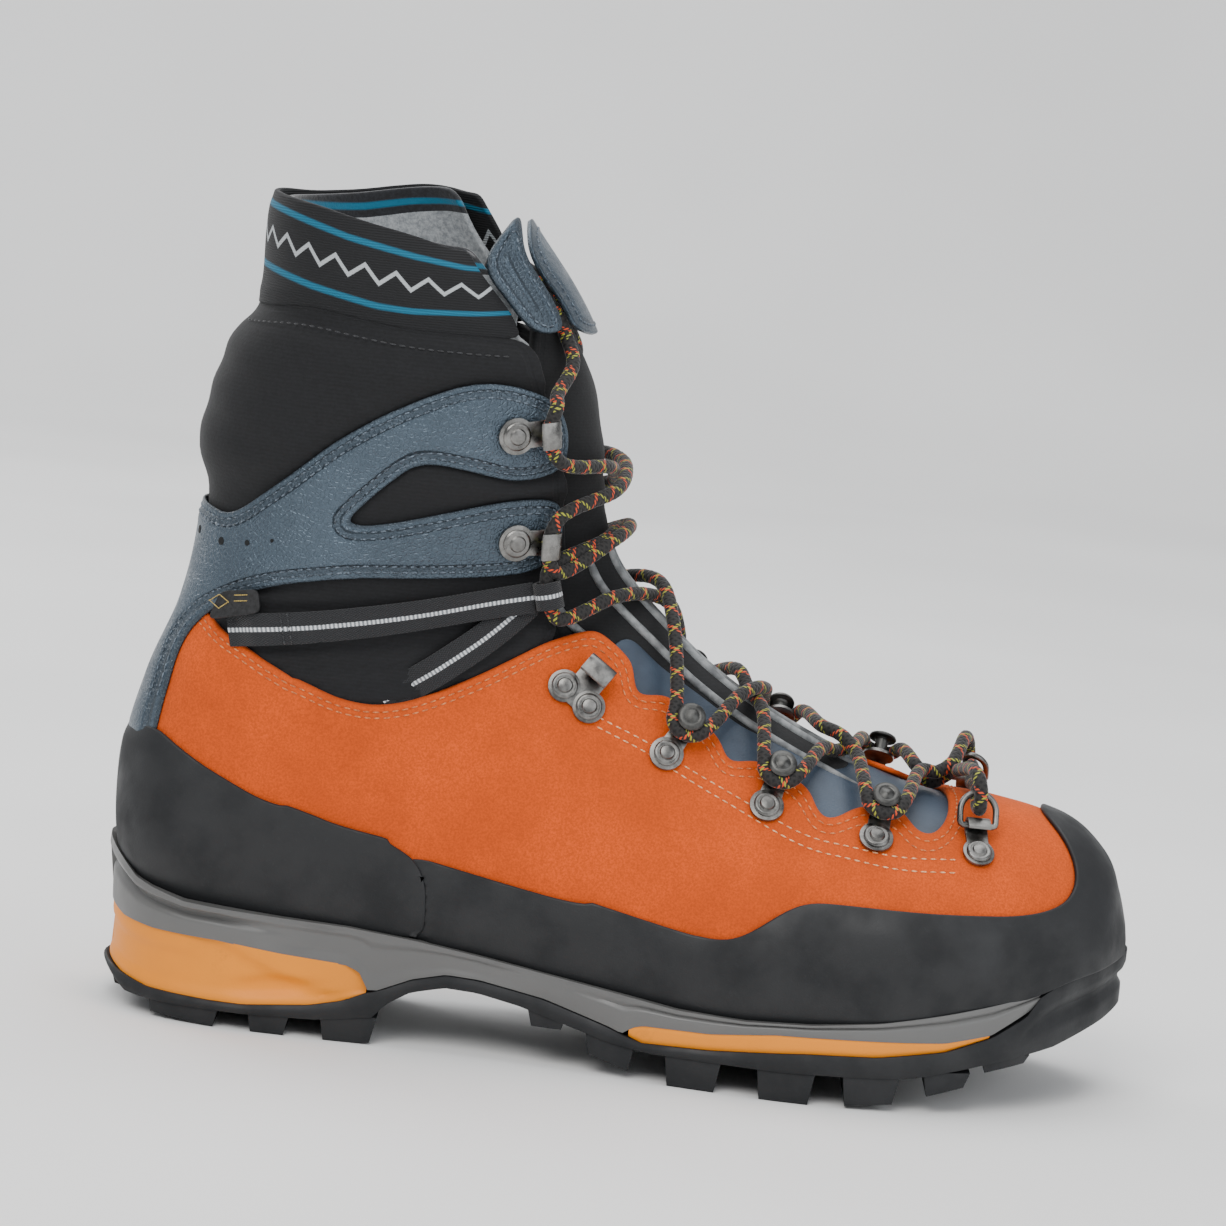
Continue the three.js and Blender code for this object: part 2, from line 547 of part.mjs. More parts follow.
function addHooks(name, side) {
  for (const [hook, root, tip] of HOOKS) {
    const matrix = seat(side, root, tip, HOOK_OFFSET);
    const plate = disc(5, 0, PLATE).add(edgeways(curl(0, HOOK_STEM, 5.4, 6.6), 5.4));
    place(`${hook}_${name}`, plate.subtract(disc(1.8, -1, 3)), matrix, STEEL);
    place(`${hook}_${name}_rivet`, rivet(3.6, 0, 0), matrix, STEEL);
  }
}

function addLockHook(name, side) {
  const matrix = seat(side, ...LOCK_HOOK, EYELET_OFFSET);
  let plate = edgeways([[-4, 0], [4, 0], [4, PLATE], [-4, PLATE]], 17);
  plate = plate.add(edgeways(curl(0, HOOK_STEM, 5.4, 6.6), 8.5));
  for (const y of [-4.8, 4.8]) plate = plate.subtract(disc(1.8, -1, 3, 0, y));
  place(`lock_hook_${name}`, plate, matrix, STEEL);
  [-4.8, 4.8].forEach((y, i) => {
    place(`lock_hook_${name}_rivet_${i + 1}`, rivet(3.2, 0, y), matrix, STEEL);
  });
}

// A riveted eyelet with a turning roller, which the lace runs round under its cap.
const ROLLER_POST = 12;
const ROLLER = [
  [0, 5.6], [1.4, 5.6], [1.4, 0], [2.1, 0], [2.1, 4.9], [4.1, 5.3], [3.5, 6.3], [1.6, 6.9], [0, 7],
];

function addEyelet(name, side, pair, index) {
  const matrix = seat(side, ...raised(pair, side * EYELET_RISE), EYELET_OFFSET);
  const neck = edgeways([[0, 0], [ROLLER_POST, 0], [ROLLER_POST, PLATE], [0, PLATE]], 5.5);
  const plate = disc(4.4, 0, PLATE).add(neck).add(disc(4.4, 0, PLATE, ROLLER_POST));
  const post = disc(1, 0, PLATE + 4.8, ROLLER_POST, 0, 8);
  const head = disc(2.8, 0, PLATE + 1);
  place(`eyelet_${index}_${name}`, plate.add(post).add(head), matrix, STEEL);
  const points = ROLLER.map(([r, z]) => new THREE.Vector2(r, z));
  const roller = new THREE.LatheGeometry(points, 10).rotateX(Math.PI / 2);
  place(`eyelet_${index}_${name}_roller`, solid(roller.translate(ROLLER_POST, 0, PLATE + GAP)), matrix, STEEL);
}

const RING_BAR = 8.6; // distance of the ring's bar from its rivet
const RING_TILT = 0.5;

function ringShape() {
  const shape = new THREE.Shape();
  shape.moveTo(-1, -6.5).lineTo(4.5, -6.5).absarc(4.5, 0, 6.5, -Math.PI / 2, Math.PI / 2).lineTo(-1, 6.5);
  const hole = new THREE.Path();
  hole.moveTo(1, -4.6).lineTo(4.4, -4.6).absarc(4.4, 0, 4.6, -Math.PI / 2, Math.PI / 2).lineTo(1, 4.6);
  shape.holes.push(hole);
  return new THREE.ExtrudeGeometry(shape, { depth: 2, bevelEnabled: false, curveSegments: 6 });
}

function addRing(name, side) {
  const matrix = seat(side, ...raised(D_RING, side * RING_RISE), EYELET_OFFSET);
  const knuckle = curl(0, RING_BAR + 2.5, 2.9, RING_BAR - 2.4);
  const plate = disc(4.6, 0, PLATE).add(edgeways(knuckle, 7)).subtract(disc(1.8, -1, 3));
  place(`d_ring_plate_${name}`, plate, matrix, STEEL);
  place(`d_ring_plate_${name}_rivet`, rivet(3.2, 0, 0), matrix, STEEL);
  const ring = ringShape().translate(0, 0, -1).rotateY(-RING_TILT).translate(RING_BAR, 0, PLATE + 1.5);
  place(`d_ring_${name}`, solid(ring), matrix, STEEL);
}

// ---- webbing pull straps and the side tag ----
const LOOP = [[-33.5, 139.5], [-28.5, 141]];
const loopSeat = (side) => seat(side, ...LOOP, 6.6);

function addWebbing(name, side) {
  const half = new THREE.BoxGeometry(400, SPAN, 400).translate(0, (side * SPAN) / 2, 200);
  const plan = across(strip(WEBBING_UPPER, WEBBING_HALF)).add(across(strip(WEBBING_LOWER, WEBBING_HALF)));
  const straps = wall(...LAYER.webbing).intersect(plan).intersect(solid(half));
  const ring = new THREE.Shape();
  ring.absarc(0, 0, 4.2, 0, 2 * Math.PI);
  const eye = new THREE.Path();
  eye.absarc(0, 0, 3.1, 0, 2 * Math.PI);
  ring.holes.push(eye);
  const loop = new THREE.ExtrudeGeometry(ring, { depth: 8, bevelEnabled: false, curveSegments: 5 });
  loop.rotateX(Math.PI / 2).translate(0, 4, 0);
  const matrix = loopSeat(side);
  add(`webbing_strap_${name}`, straps.add(solid(loop).transform(matrix.elements)), WEBBING);
}

function addTag() {
  const half = new THREE.BoxGeometry(400, SPAN, 400).translate(0, -SPAN / 2, 200);
  const layer = wall(LAYER.webbing[1] + GAP, LAYER.webbing[1] + GAP + 0.9);
  add('side_tag', layer.intersect(across(SIDE_TAG)).intersect(solid(half)), PLASTIC);
}

// ---- lace ----
// Where the lace runs in each fitting, in the fitting's own frame: x inwards, then along the lacing
// from the toe upwards, then out from the boot.
const IN_RING = [[22, -1.5, 2.4], [17.2, -0.8, 2.3], [12.4, 0, 6.2], [15.6, 0.6, 11.2], [21, 1.5, 11.8]];
const IN_EYELET = [[13.8, -6.2, 4], [8.6, -4, 4], [6.9, 0, 4], [8.6, 4, 4], [13.8, 6.2, 4]];
const IN_LOOP = [[1.4, -7.5, 0], [0, 0, 0], [1.4, 7.5, 0]];
const IN_HOOK = [[12, -8.4, 3.8], [9, 0, 3.7], [12, 8.4, 3.8]];
const GUIDES = [
  (side) => [seat(side, ...raised(D_RING, side * RING_RISE), EYELET_OFFSET), IN_RING],
  ...EYELETS.map((pair) => (side) => [seat(side, ...raised(pair, side * EYELET_RISE), EYELET_OFFSET), IN_EYELET]),
  (side) => [loopSeat(side), IN_LOOP],
  ...HOOKS.toReversed().map(([, ...pair]) => (side) => [seat(side, ...pair, HOOK_OFFSET), IN_HOOK]),
];
const UNDER = 2.5; // lace on the tongue
const OVER = 6.5; // lace on the other strand
const BAR_LIFT = 4.7; // lace across the vamp
// Each end passes behind the tongue tab, in beside the tongue and down inside the shaft. First on the
// last, as t, angle and offset, then free, as x, y and z.
const END_ON_LAST = [
  [18.3, 0.75, 6.4], [18.8, 0.5, 3.2], [19.3, 0.42, 1.6], [19.9, 0.42, 1.4], [20.4, 0.55, 0.6],
  [20.75, 0.67, -3.6],
];
const END_HANGING = [
  [-59, 20.5, 229], [-60.5, 20, 205], [-59, 18, 160], [-57, 17, 110], [-58, 16, 64],
  [-66, 15, 47.5], [-90, 13, 46.5],
];

// A point's place on the last: t, angle and distance out.
function onLast(point, side) {
  const { t, angle } = locate(point.x, point.z, side);
  return { t, angle, offset: point.clone().sub(bare(t, angle)).dot(outward(t, angle)) };
}

// The strand over the instep between two fittings on opposite sides.
function crossing(from, to, side, lift) {
  const a = onLast(from, side);
  const b = onLast(to, -side);
  return [0.25, 0.5, 0.75].map((share) => {
    const middle = 1 - Math.abs(2 * share - 1);
    const ends = THREE.MathUtils.lerp(a.offset, b.offset, share);
    const t = THREE.MathUtils.lerp(a.t, b.t, share);
    return surface(t, THREE.MathUtils.lerp(a.angle, b.angle, share), THREE.MathUtils.lerp(ends, lift, middle));
  });
}

// One half of the lace, from the first ring up to its end.
function laceHalf(start) {
  const points = [];
  let side = start;
  for (const guide of GUIDES) {
    const [matrix, stops] = guide(side);
    const held = stops.map(([x, along, z]) => new THREE.Vector3(x, -side * along, z).applyMatrix4(matrix));
    if (points.length > 0) {
      points.push(...crossing(points.at(-1), held[0], -side, start < 0 ? UNDER : OVER));
    }
    points.push(...held);
    side = -side;
  }
  side = -side;
  for (const [t, angle, offset] of END_ON_LAST) points.push(surface(t, -side * angle, offset));
  for (const [x, y, z] of END_HANGING) points.push(new THREE.Vector3(x, side * y, z));
  return points;
}

class LacePath extends THREE.CatmullRomCurve3 {
  // Steps follow the route's points, which lie closer where it turns.
  getPointAt(u, target) {
    return this.getPoint(u, target);
  }

  getTangentAt(u, target) {
    return this.getTangent(u, target);
  }
}

function roundSection(radius, sides) {
  const corners = [];
  for (let i = 0; i < sides; i++) {
    const angle = (2 * Math.PI * (i + 0.5)) / sides;
    corners.push([radius * Math.cos(angle), radius * Math.sin(angle)]);
  }
  return shapeOf(corners);
}

function addLace() {
  const outer = laceHalf(-1);
  const inner = laceHalf(1);
  const first = onLast(outer[0], -1);
  const last = onLast(inner[0], 1);
  const bar = [0.3, 0.5, 0.7].map((share) => surface(
    THREE.MathUtils.lerp(first.t, last.t, share),
    THREE.MathUtils.lerp(first.angle, last.angle, share),
    BAR_LIFT,
  ));
  const route = [...outer.toReversed(), ...bar, ...inner];
  const path = new LacePath(route, false, 'centripetal');
  const tube = new THREE.ExtrudeGeometry(roundSection(LACE_RADIUS, 8), {
    steps: route.length - 1, bevelEnabled: false, extrudePath: path,
  });
  add('lace', solid(tube), LACE_YARN);
  [['a', route[0], route[1]], ['b', route.at(-1), route.at(-2)]].forEach(([name, end, before]) => {
    const away = end.clone().sub(before).normalize();
    const turn = new THREE.Quaternion().setFromUnitVectors(new THREE.Vector3(0, 0, 1), away);
    const matrix = new THREE.Matrix4().compose(end, turn, new THREE.Vector3(1, 1, 1));
    place(`lace_tip_${name}`, disc(1.7, GAP, 20, 0, 0, 8), matrix, PLASTIC);
  });
}

addSole();
addInside();
addSkins();
addCollarPieces();
for (const [name, side] of SIDES) {
  addHooks(name, side);
  addLockHook(name, side);
  EYELETS.forEach((pair, i) => addEyelet(name, side, pair, i + 1));
  addRing(name, side);
  addWebbing(name, side);
}
addTag();
addLace();

export default boot;
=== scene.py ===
"""A laced mountaineering boot for the right foot, built piece by piece round its packed frame."""

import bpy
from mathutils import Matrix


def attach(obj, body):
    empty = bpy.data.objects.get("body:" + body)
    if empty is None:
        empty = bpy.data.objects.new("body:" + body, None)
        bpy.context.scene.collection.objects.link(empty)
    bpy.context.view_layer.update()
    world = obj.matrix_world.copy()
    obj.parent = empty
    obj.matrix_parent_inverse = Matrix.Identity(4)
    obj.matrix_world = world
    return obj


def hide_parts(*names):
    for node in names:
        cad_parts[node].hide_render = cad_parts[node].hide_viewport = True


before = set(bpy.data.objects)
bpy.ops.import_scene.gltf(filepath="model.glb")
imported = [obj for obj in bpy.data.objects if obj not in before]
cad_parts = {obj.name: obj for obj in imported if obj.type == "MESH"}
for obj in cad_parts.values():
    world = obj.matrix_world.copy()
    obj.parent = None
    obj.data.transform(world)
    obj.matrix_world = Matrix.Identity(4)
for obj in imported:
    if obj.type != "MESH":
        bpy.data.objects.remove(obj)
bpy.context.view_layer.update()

import math

import bmesh
import bpy
import numpy as np
from mathutils import Matrix, Vector

bl_info = {
    "name": "Mountaineering Boot",
    "version": (1, 0, 0),
    "blender": (4, 5, 0),
    "location": "3D View > Sidebar > Boot",
    "description": "Builds a laced mountaineering boot from its panels, sole, fittings and lace",
    "category": "Add Mesh",
}

MM = 0.001
BOOT = "boot"

# ---- the last ----
# Sections fanned from the toe over the instep to the collar, in millimetres: crown x, z; base x, z;
# half width on the outer and the inner side; sideways shift of the crown; share of the height where
# it is widest; fullness of the crown and of the base.
SECTIONS = np.array([
    [150.8, 53, 150.8, 43, 5, 9, 6, 0.5, 2.2, 2.2],
    [148.0, 62, 147.0, 39, 14, 20, 6, 0.42, 2.2, 2.6],
    [143.5, 71.5, 140.5, 35, 23, 32, 6, 0.36, 2.2, 3.2],
    [131.0, 81.2, 127.0, 30, 33, 41, 6, 0.33, 2.2, 3.8],
    [112.0, 85.5, 107.0, 25, 44, 48, 6, 0.3, 2.2, 4],
    [92.0, 87.5, 85.0, 20, 50.5, 50, 6, 0.3, 2.1, 4],
    [73.0, 92.5, 60.0, 17, 51, 49, 6, 0.3, 2.0, 4],
    [54.0, 100.0, 34.0, 16, 49, 43, 6, 0.3, 1.9, 4],
    [35.0, 109.5, 8.0, 18, 44, 36.5, 5, 0.3, 1.85, 4],
    [18.0, 120.5, -22.0, 21, 39, 31, 4, 0.3, 1.85, 4],
    [4.0, 132.5, -55.0, 26, 36, 29, 3, 0.3, 1.9, 4],
    [-5.0, 141.0, -95.0, 28, 33.5, 30, 2, 0.3, 2.0, 4],
    [-10.5, 147.5, -128.0, 30, 33, 31, 1, 0.3, 2.1, 3.4],
    [-14.0, 154.0, -148.0, 42, 33, 31.5, 0, 0.3, 2.2, 3],
    [-16.0, 161.0, -152.6, 72, 32.5, 32, 0, 0.35, 2.2, 2.6],
    [-17.3, 168.0, -147.6, 100, 33, 33, 0, 0.4, 2.2, 2.4],
    [-18.3, 175.0, -139.5, 124, 34, 34, 0, 0.42, 2.2, 2.3],
    [-19.5, 184.0, -136.0, 148, 36, 36, 0, 0.45, 2.2, 2.2],
    [-22.5, 197.0, -136.8, 175, 38, 38, 0, 0.48, 2.2, 2.2],
    [-29.0, 212.0, -132.0, 199, 38.5, 38.5, 0, 0.5, 2.2, 2.2],
    [-37.5, 226.0, -126.0, 217, 38, 38, 0, 0.5, 2.2, 2.2],
    [-51.0, 243.0, -124.8, 238, 36.5, 36.5, 0, 0.5, 2.2, 2.2],
    [-64.0, 260.0, -124.2, 262, 35, 35, 0, 0.5, 2.2, 2.2],
])
COLLAR = len(SECTIONS) - 1
SIDES = (("outer", -1), ("inner", 1))
COLLAR_MIDDLE, COLLAR_RADIUS = -86, 42
SHORTEST_SEAM = 6

# ---- side-view lines of the panels, x and z ----
SOLE_TOP = [
    (-157, 51), (-150, 45.5), (-145, 41.3), (-140, 39.5), (-130, 37), (-120, 36.5), (-100, 35.4),
    (-80, 34.8), (-60, 33), (-40, 30.6), (-20, 27.9), (0, 25.4), (20, 22.9), (40, 22.5), (60, 23.8),
    (80, 26.3), (100, 30.3), (120, 34.6), (128, 36.4), (135, 40.5), (153, 45.2), (157, 46),
]
RAND_TOP = [
    (-158, 87), (-144, 88), (-140, 84.5), (-130, 79.5), (-120, 75.3), (-110, 72), (-100, 68.8),
    (-80, 63.5), (-60, 58.4), (-40, 54.4), (-20, 51.4), (0, 48.8), (20, 46), (30, 45.6), (35, 46),
    (40, 50), (45, 54.5), (50, 59), (55, 60.5), (120, 60.5), (130, 62), (135, 65), (137, 69),
    (136.5, 74), (134, 79), (130, 83.5), (124, 88), (117, 96),
]
RAND_SEAM = -57.5
RAND_OVERLAP = 14.0  # the front rand runs on under the heel rand
SUEDE_TOP = [
    (-160, 124), (-134, 124), (-127, 119.5), (-120, 117), (-110, 112), (-100, 108), (-90, 104.5),
    (-80, 103.3), (-70, 105), (-60, 109.3), (-50, 114), (-40, 119.5), (-30, 125), (-20, 128),
    (-15.5, 128.5), (-8, 123.5), (-3, 119), (-3, 114.3), (-1, 111), (7, 111.7), (25, 100.7),
    (27, 95), (37, 95.8), (53, 89.8), (56, 84), (60, 83), (68, 86), (81, 85.7), (86, 81), (92, 80.5),
    (97, 84), (99, 110), (170, 110),
]
SUEDE_LEAN = 0.18  # the lacing edge stands higher on the inner side of the foot
LEAN_FROM = -27
EYESTAY_ROW = [(-12, 104), (3, 98), (15, 92), (30, 86), (45, 80), (55, 77), (65, 76), (80, 74), (97, 74)]
UNDERLAY = [
    (-12, 124), (-9, 110), (20, 90), (60, 73), (100, 67), (108, 78), (108, 112), (98, 112), (95, 88),
    (80, 88), (58, 91), (30, 102), (5, 117), (-6, 126),
]
TONGUE_EDGE = [
    (108, 120), (104, 82), (90, 75), (60, 77), (20, 90), (-10, 106), (-28, 122), (-40, 150),
    (-43, 190), (-43, 214), (-44, 226), (-49.5, 236), (-56, 245), (-58, 251), (-45, 257), (60, 257),
]
SHAFT_OPENING = [
    (110, 120), (104.5, 81.5), (90, 74.4), (60, 76.4), (20, 89.4), (-10.4, 105.6), (-28.5, 121.6),
    (-40.6, 150), (-43.6, 190), (-44.5, 212), (-49, 222), (-61, 235), (-69, 245), (-75, 260),
    (-76, 290), (60, 290),
]
WRAP = [
    (-145, 157), (-135, 154.5), (-130, 153.5), (-125, 156.5), (-120, 161), (-110, 169.5), (-100, 179),
    (-90, 186.3), (-80, 192.5), (-70, 197.6), (-60, 201.6), (-50, 202.5), (-40, 200.5), (-34, 198),
    (-31, 193.5), (-29, 188), (-29, 180), (-31, 177.5), (-35, 174.8), (-45, 172.8), (-55, 175),
    (-70, 176.9), (-75, 175.3), (-80, 170.8), (-90, 160.5), (-93.5, 156.5), (-90, 155.5), (-80, 157.2),
    (-70, 160.2), (-60, 163), (-50, 166), (-40, 168), (-31, 168.3), (-29, 165), (-28, 157),
    (-29, 152), (-33, 147.5), (-40, 145), (-50, 143.5), (-70, 141.5), (-90, 140), (-110, 136),
    (-120, 132.5), (-131, 126), (-134, 123), (-138, 118.5), (-141, 112), (-142.5, 104), (-144.5, 93),
    (-146, 80), (-170, 80), (-170, 157),
]
COLLAR_RIM = [
    (-130, 251), (-110, 248.5), (-100, 246.5), (-80, 243), (-68, 240), (-65, 241), (-61, 235),
    (-50, 223), (-46, 215.5), (-60, 215.5), (-80, 215.5), (-110, 219), (-140, 214.5), (-140, 251),
]
SHAFT_ROOM = [
    (-145, 215.5), (-110, 220), (-80, 216.5), (-60, 216.5), (-44, 215), (-38, 200), (-31, 180),
    (-27, 150), (-28, 131), (-28, 60), (-170, 60), (-170, 213),
]
RIM_CUT = [
    (-130, 250), (-110, 247.5), (-100, 245.5), (-80, 242), (-68, 239.5), (-60, 244), (-54, 290),
    (-160, 290), (-160, 250),
]
STRAP = [
    (-53.5, 250), (-56.5, 244), (-58.5, 239.5), (-58, 235), (-55, 231), (-52, 228), (-47, 222),
    (-43, 218.5), (-39, 217.5), (-35.5, 218.5), (-36.8, 222.8), (-41.5, 230), (-46, 235.5),
    (-50, 241.5), (-52, 250),
]
TAB = [
    (-51, 258), (-49.5, 246), (-48, 240), (-43.8, 233.5), (-39.5, 229), (-35, 223), (-33, 219),
    (-15, 212), (-15, 285), (-66, 285), (-60, 266),
]
WEBBING_UPPER = [(-124, 119.5), (-110, 122.5), (-90, 126.5), (-70, 131), (-50, 136), (-37, 138.5)]
WEBBING_LOWER = [(-77, 103.5), (-70, 108.5), (-60, 116.5), (-50, 124.5), (-42, 132.5), (-38, 137)]
SIDE_TAG = [(-131.5, 122.5), (-115.5, 127), (-117, 134), (-128.5, 131.5)]
UPPER_STRIPE = [(-160, 252), (-126, 247), (-110, 243), (-100, 240.5), (-80, 237), (-65, 235), (-40, 234)]
LOWER_STRIPE = [(-160, 233), (-127, 229), (-110, 225), (-90, 221.5), (-80, 221), (-60, 222), (-40, 224)]

# ---- sole ----
SOLE_PLAN = [
    (-157, 0), (-152, -18), (-140, -30.5), (-120, -36.5), (-90, -38), (-60, -38.5), (-20, -42.5),
    (20, -50.5), (48, -55.4), (68, -56), (88, -54.8), (108, -49.5), (128, -37.5),
    (145, -20), (154, -5), (157, 6), (153.5, 22), (143, 36.5), (125, 48.5), (103, 54.6),
    (84, 56), (62, 53.8), (20, 42), (-20, 33.5), (-60, 32.5), (-90, 35), (-120, 36.5),
    (-140, 30.5), (-152, 18),
]
HEEL_INSERT_TOP = [
    (-157, 31), (-150, 28), (-140, 27), (-120, 26.6), (-100, 24.7), (-80, 23.6), (-76, 22), (-73, 16.8),
]
HEEL_INSERT_BASE = [
    (-157, 14), (-150, 11), (-140, 9), (-120, 8.3), (-110, 8.3), (-90, 10.5), (-80, 13), (-73, 16.3),
]
ARCH_TOP = [(-70, 17), (-60, 21.6), (-50, 24.2), (-40, 23.9), (-20, 20.8), (0, 15.3), (4, 13.8)]
TOE_INSERT_TOP = [(7, 16), (10, 17), (30, 17.5), (50, 20), (80, 21.2), (100, 22), (114, 24.6)]
TOE_INSERT_BASE = [(5, 14), (10, 12), (30, 12.8), (60, 15.6), (80, 16.6), (100, 19.5), (114, 24)]
TOE_BUMPER = [(124, 30), (128, 36.4), (135, 40.5), (153, 45.2), (158, 46)]
LUGS = [
    (-138, 1.5, -118.5, 0), (-107, 0, -97, 0), (-85, 0, -71, 0.5), (-23, 12, -14, 12), (-5, 6, 7, 2.5),
    (19, 0, 33, 0), (46.5, 0, 61, 0), (72, 0.8, 86, 2.5), (96, 5.5, 107, 8.5), (113, 13, 125, 15.5),
]
LUG_ROOTS = [6.5, 6.5, 7, 16, 10.5, 9.5, 9.5, 10, 11.5, 16.5]


def bare(t, angle):
    """The last's own surface: t from the toe to the collar, angle from the crown over the outer side."""
    t, angle = np.broadcast_arrays(np.asarray(t, float), np.asarray(angle, float))
    i = np.clip(np.floor(t).astype(int), 0, COLLAR - 1)
    f = (t - i)[..., None]
    a, b, c, d = (SECTIONS[np.clip(i + k, 0, COLLAR)] for k in (-1, 0, 1, 2))
    row = b + 0.5 * f * (c - a + f * (2 * a - 5 * b + 4 * c - d + f * (3 * (b - c) + d - a)))
    tx, tz, bx, bz, outer, inner, shift, share, crown, base = np.moveaxis(row, -1, 0)
    cosine, sine = np.cos(angle), np.sin(angle)
    power = 2 / np.where(cosine >= 0, crown, base)
    rise = np.sign(cosine) * np.abs(cosine) ** power
    height = share + rise * np.where(cosine >= 0, 1 - share, share)
    width = np.where(sine >= 0, outer, inner) * np.abs(sine) ** power
    y = np.where(sine >= 0, -width, width) + shift * np.maximum(0, rise)
    return np.stack([bx + (tx - bx) * height, y, bz + (tz - bz) * height], axis=-1)


def unit(v):
    return v / np.maximum(np.linalg.norm(v, axis=-1, keepdims=True), 1e-9)


def outward(t, angle):
    step = 0.02
    along = bare(np.minimum(COLLAR, np.asarray(t, float) + step), angle)
    along = along - bare(np.maximum(0, np.asarray(t, float) - step), angle)
    around = bare(t, np.asarray(angle, float) + step) - bare(t, np.asarray(angle, float) - step)
    return unit(np.cross(along, around))


def surface(t, angle, offset):
    """A point of the boot at a distance out from the last. Below t = 0 the toe closes to a point."""
    t, angle, offset = np.broadcast_arrays(*(np.asarray(v, float) for v in (t, angle, offset)))
    real = np.maximum(t, 0)
    point = bare(real, angle) + outward(real, angle) * offset[..., None]
    close = np.clip(-t, 0, 1)[..., None]
    nose = (bare(0, 0) + bare(0, math.pi)) / 2 + np.stack([offset + 0.8, 0 * offset, 0 * offset], -1)
    return point * (1 - close) + nose * close


def facing(t, angle):
    real = np.maximum(t, 0)
    close = np.clip(-np.asarray(t, float), 0, 1)[..., None]
    return unit(outward(real, angle) * (1 - close) + np.array([1.0, 0, 0]) * close)


SEARCH_T = np.arange(0, COLLAR + 0.01, 0.25)
SEARCH_ANGLE = np.arange(0.05, 3.1, 0.08)


def locate(points, side):
    """The last's t and angle under side-view points (x, z): side is -1 outer, 1 inner."""
    points = np.atleast_2d(np.asarray(points, float))
    tt, aa = (g.ravel() for g in np.meshgrid(SEARCH_T, SEARCH_ANGLE, indexing="ij"))
    seen = bare(tt, -side * aa)[:, [0, 2]]
    first = np.argmin(((points[:, None] - seen[None]) ** 2).sum(-1), axis=1)
    t, a = tt[first], aa[first]

    def miss(t, a):
        return ((bare(t, -side * a)[:, [0, 2]] - points) ** 2).sum(-1)

    best = miss(t, a)
    step = 0.12
    while step > 1e-4:
        for dt, da in ((2, 0), (-2, 0), (0, 1), (0, -1), (2, 1), (-2, -1), (2, -1), (-2, 1)):
            t1, a1 = np.clip(t + dt * step, 0, COLLAR), np.clip(a + da * step, 0.01, 3.13)
            m = miss(t1, a1)
            closer = m < best
            t, a, best = np.where(closer, t1, t), np.where(closer, a1, a), np.minimum(m, best)
        step *= 0.6
    return t, -side * a


# ---- outlines and regions ----
def rounded(outline, cut=5.0, steps=4, closed=True):
    """The outline with its corners turned into short curves."""
    points = np.asarray(outline, float)
    count = len(points)
    out = []
    for i, p in enumerate(points):
        if not closed and i in (0, count - 1):
            out.append(p)
            continue
        a, b = points[i - 1] - p, points[(i + 1) % count] - p
        a *= min(0.5, cut / np.linalg.norm(a))
        b *= min(0.5, cut / np.linalg.norm(b))
        for s in np.linspace(0, 1, steps):
            out.append(p + a * (1 - s) ** 2 + b * s ** 2)
    return np.array(out)


def below(line, floor=-60):
    return [*line, (line[-1][0], floor), (line[0][0], floor)]


def depth(outline, x, z):
    """Distance of side-view points inside a closed outline, negative outside it."""
    a = np.asarray(outline, float)
    b = np.roll(a, -1, axis=0)
    flat = np.stack([np.ravel(x), np.ravel(z)], -1)
    out = np.empty(len(flat))
    edge = b - a
    size = np.maximum((edge ** 2).sum(-1), 1e-12)
    for start in range(0, len(flat), 6000):
        p = flat[start:start + 6000]
        rel = p[:, None] - a[None]
        share = np.clip((rel * edge).sum(-1) / size, 0, 1)
        away = np.sqrt(((rel - share[..., None] * edge) ** 2).sum(-1)).min(1)
        up = (a[:, 1] > p[:, None, 1]) != (b[:, 1] > p[:, None, 1])
        rise = np.where(np.abs(edge[:, 1]) < 1e-12, 1e-12, edge[:, 1])
        cross = up & (p[:, None, 0] < a[:, 0] + (p[:, None, 1] - a[:, 1]) * edge[:, 0] / rise)
        out[start:start + 6000] = np.where(cross.sum(1) % 2 == 1, away, -away)
    return out.reshape(np.shape(x))


def leaned(y, z):
    return z - SUEDE_LEAN * (y - LEAN_FROM)


OUTLINES = {name: rounded(line, cut) for name, line, cut in (
    ("sole", below(SOLE_TOP), 5), ("rand", [(-170, 87), *RAND_TOP, (170, 96), (170, -60), (-170, -60)], 6),
                                                             ("suede", below(SUEDE_TOP), 3),
    ("underlay", UNDERLAY, 4), ("tongue", TONGUE_EDGE, 6), ("opening", SHAFT_OPENING, 6),
    ("wrap", WRAP, 5), ("rim", COLLAR_RIM, 3), ("shaft", SHAFT_ROOM, 4), ("rim_cut", RIM_CUT, 4),
    ("strap", STRAP, 5), ("tab", TAB, 4), ("tag", SIDE_TAG, 2),
)}


def within(name, p, lean=False):
    return depth(OUTLINES[name], p[..., 0], leaned(p[..., 1], p[..., 2]) if lean else p[..., 2])


def smoothstep(x, low, high):
    s = np.clip((np.asarray(x, float) - low) / (high - low), 0, 1)
    return s * s * (3 - 2 * s)


# ---- meshes ----
def piece(name, points, faces, material, body=BOOT, replaces=(), sharp=None):
    """A finished piece from points in millimetres, riding on its body."""
    mesh = bpy.data.meshes.new(name)
    mesh.from_pydata([tuple(p) for p in np.asarray(points, float) * MM], [], [tuple(f) for f in faces])
    obj = linked(name, mesh)
    normals_out(mesh, lambda edit: bmesh.ops.remove_doubles(edit, verts=edit.verts, dist=0.02 * MM),
                lambda edit: bmesh.ops.dissolve_degenerate(edit, edges=edit.edges, dist=0.005 * MM))
    mesh.materials.append(material)
    mesh.shade_smooth()
    if sharp:
        mesh.set_sharp_from_angle(angle=math.radians(sharp))
    return settle(obj, body, replaces)


def settle(obj, body=BOOT, replaces=()):
    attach(obj, body)
    if replaces:
        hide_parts(*replaces)
    return obj


def linked(name, data):
    obj = bpy.data.objects.new(name, data)
    bpy.context.scene.collection.objects.link(obj)
    return obj


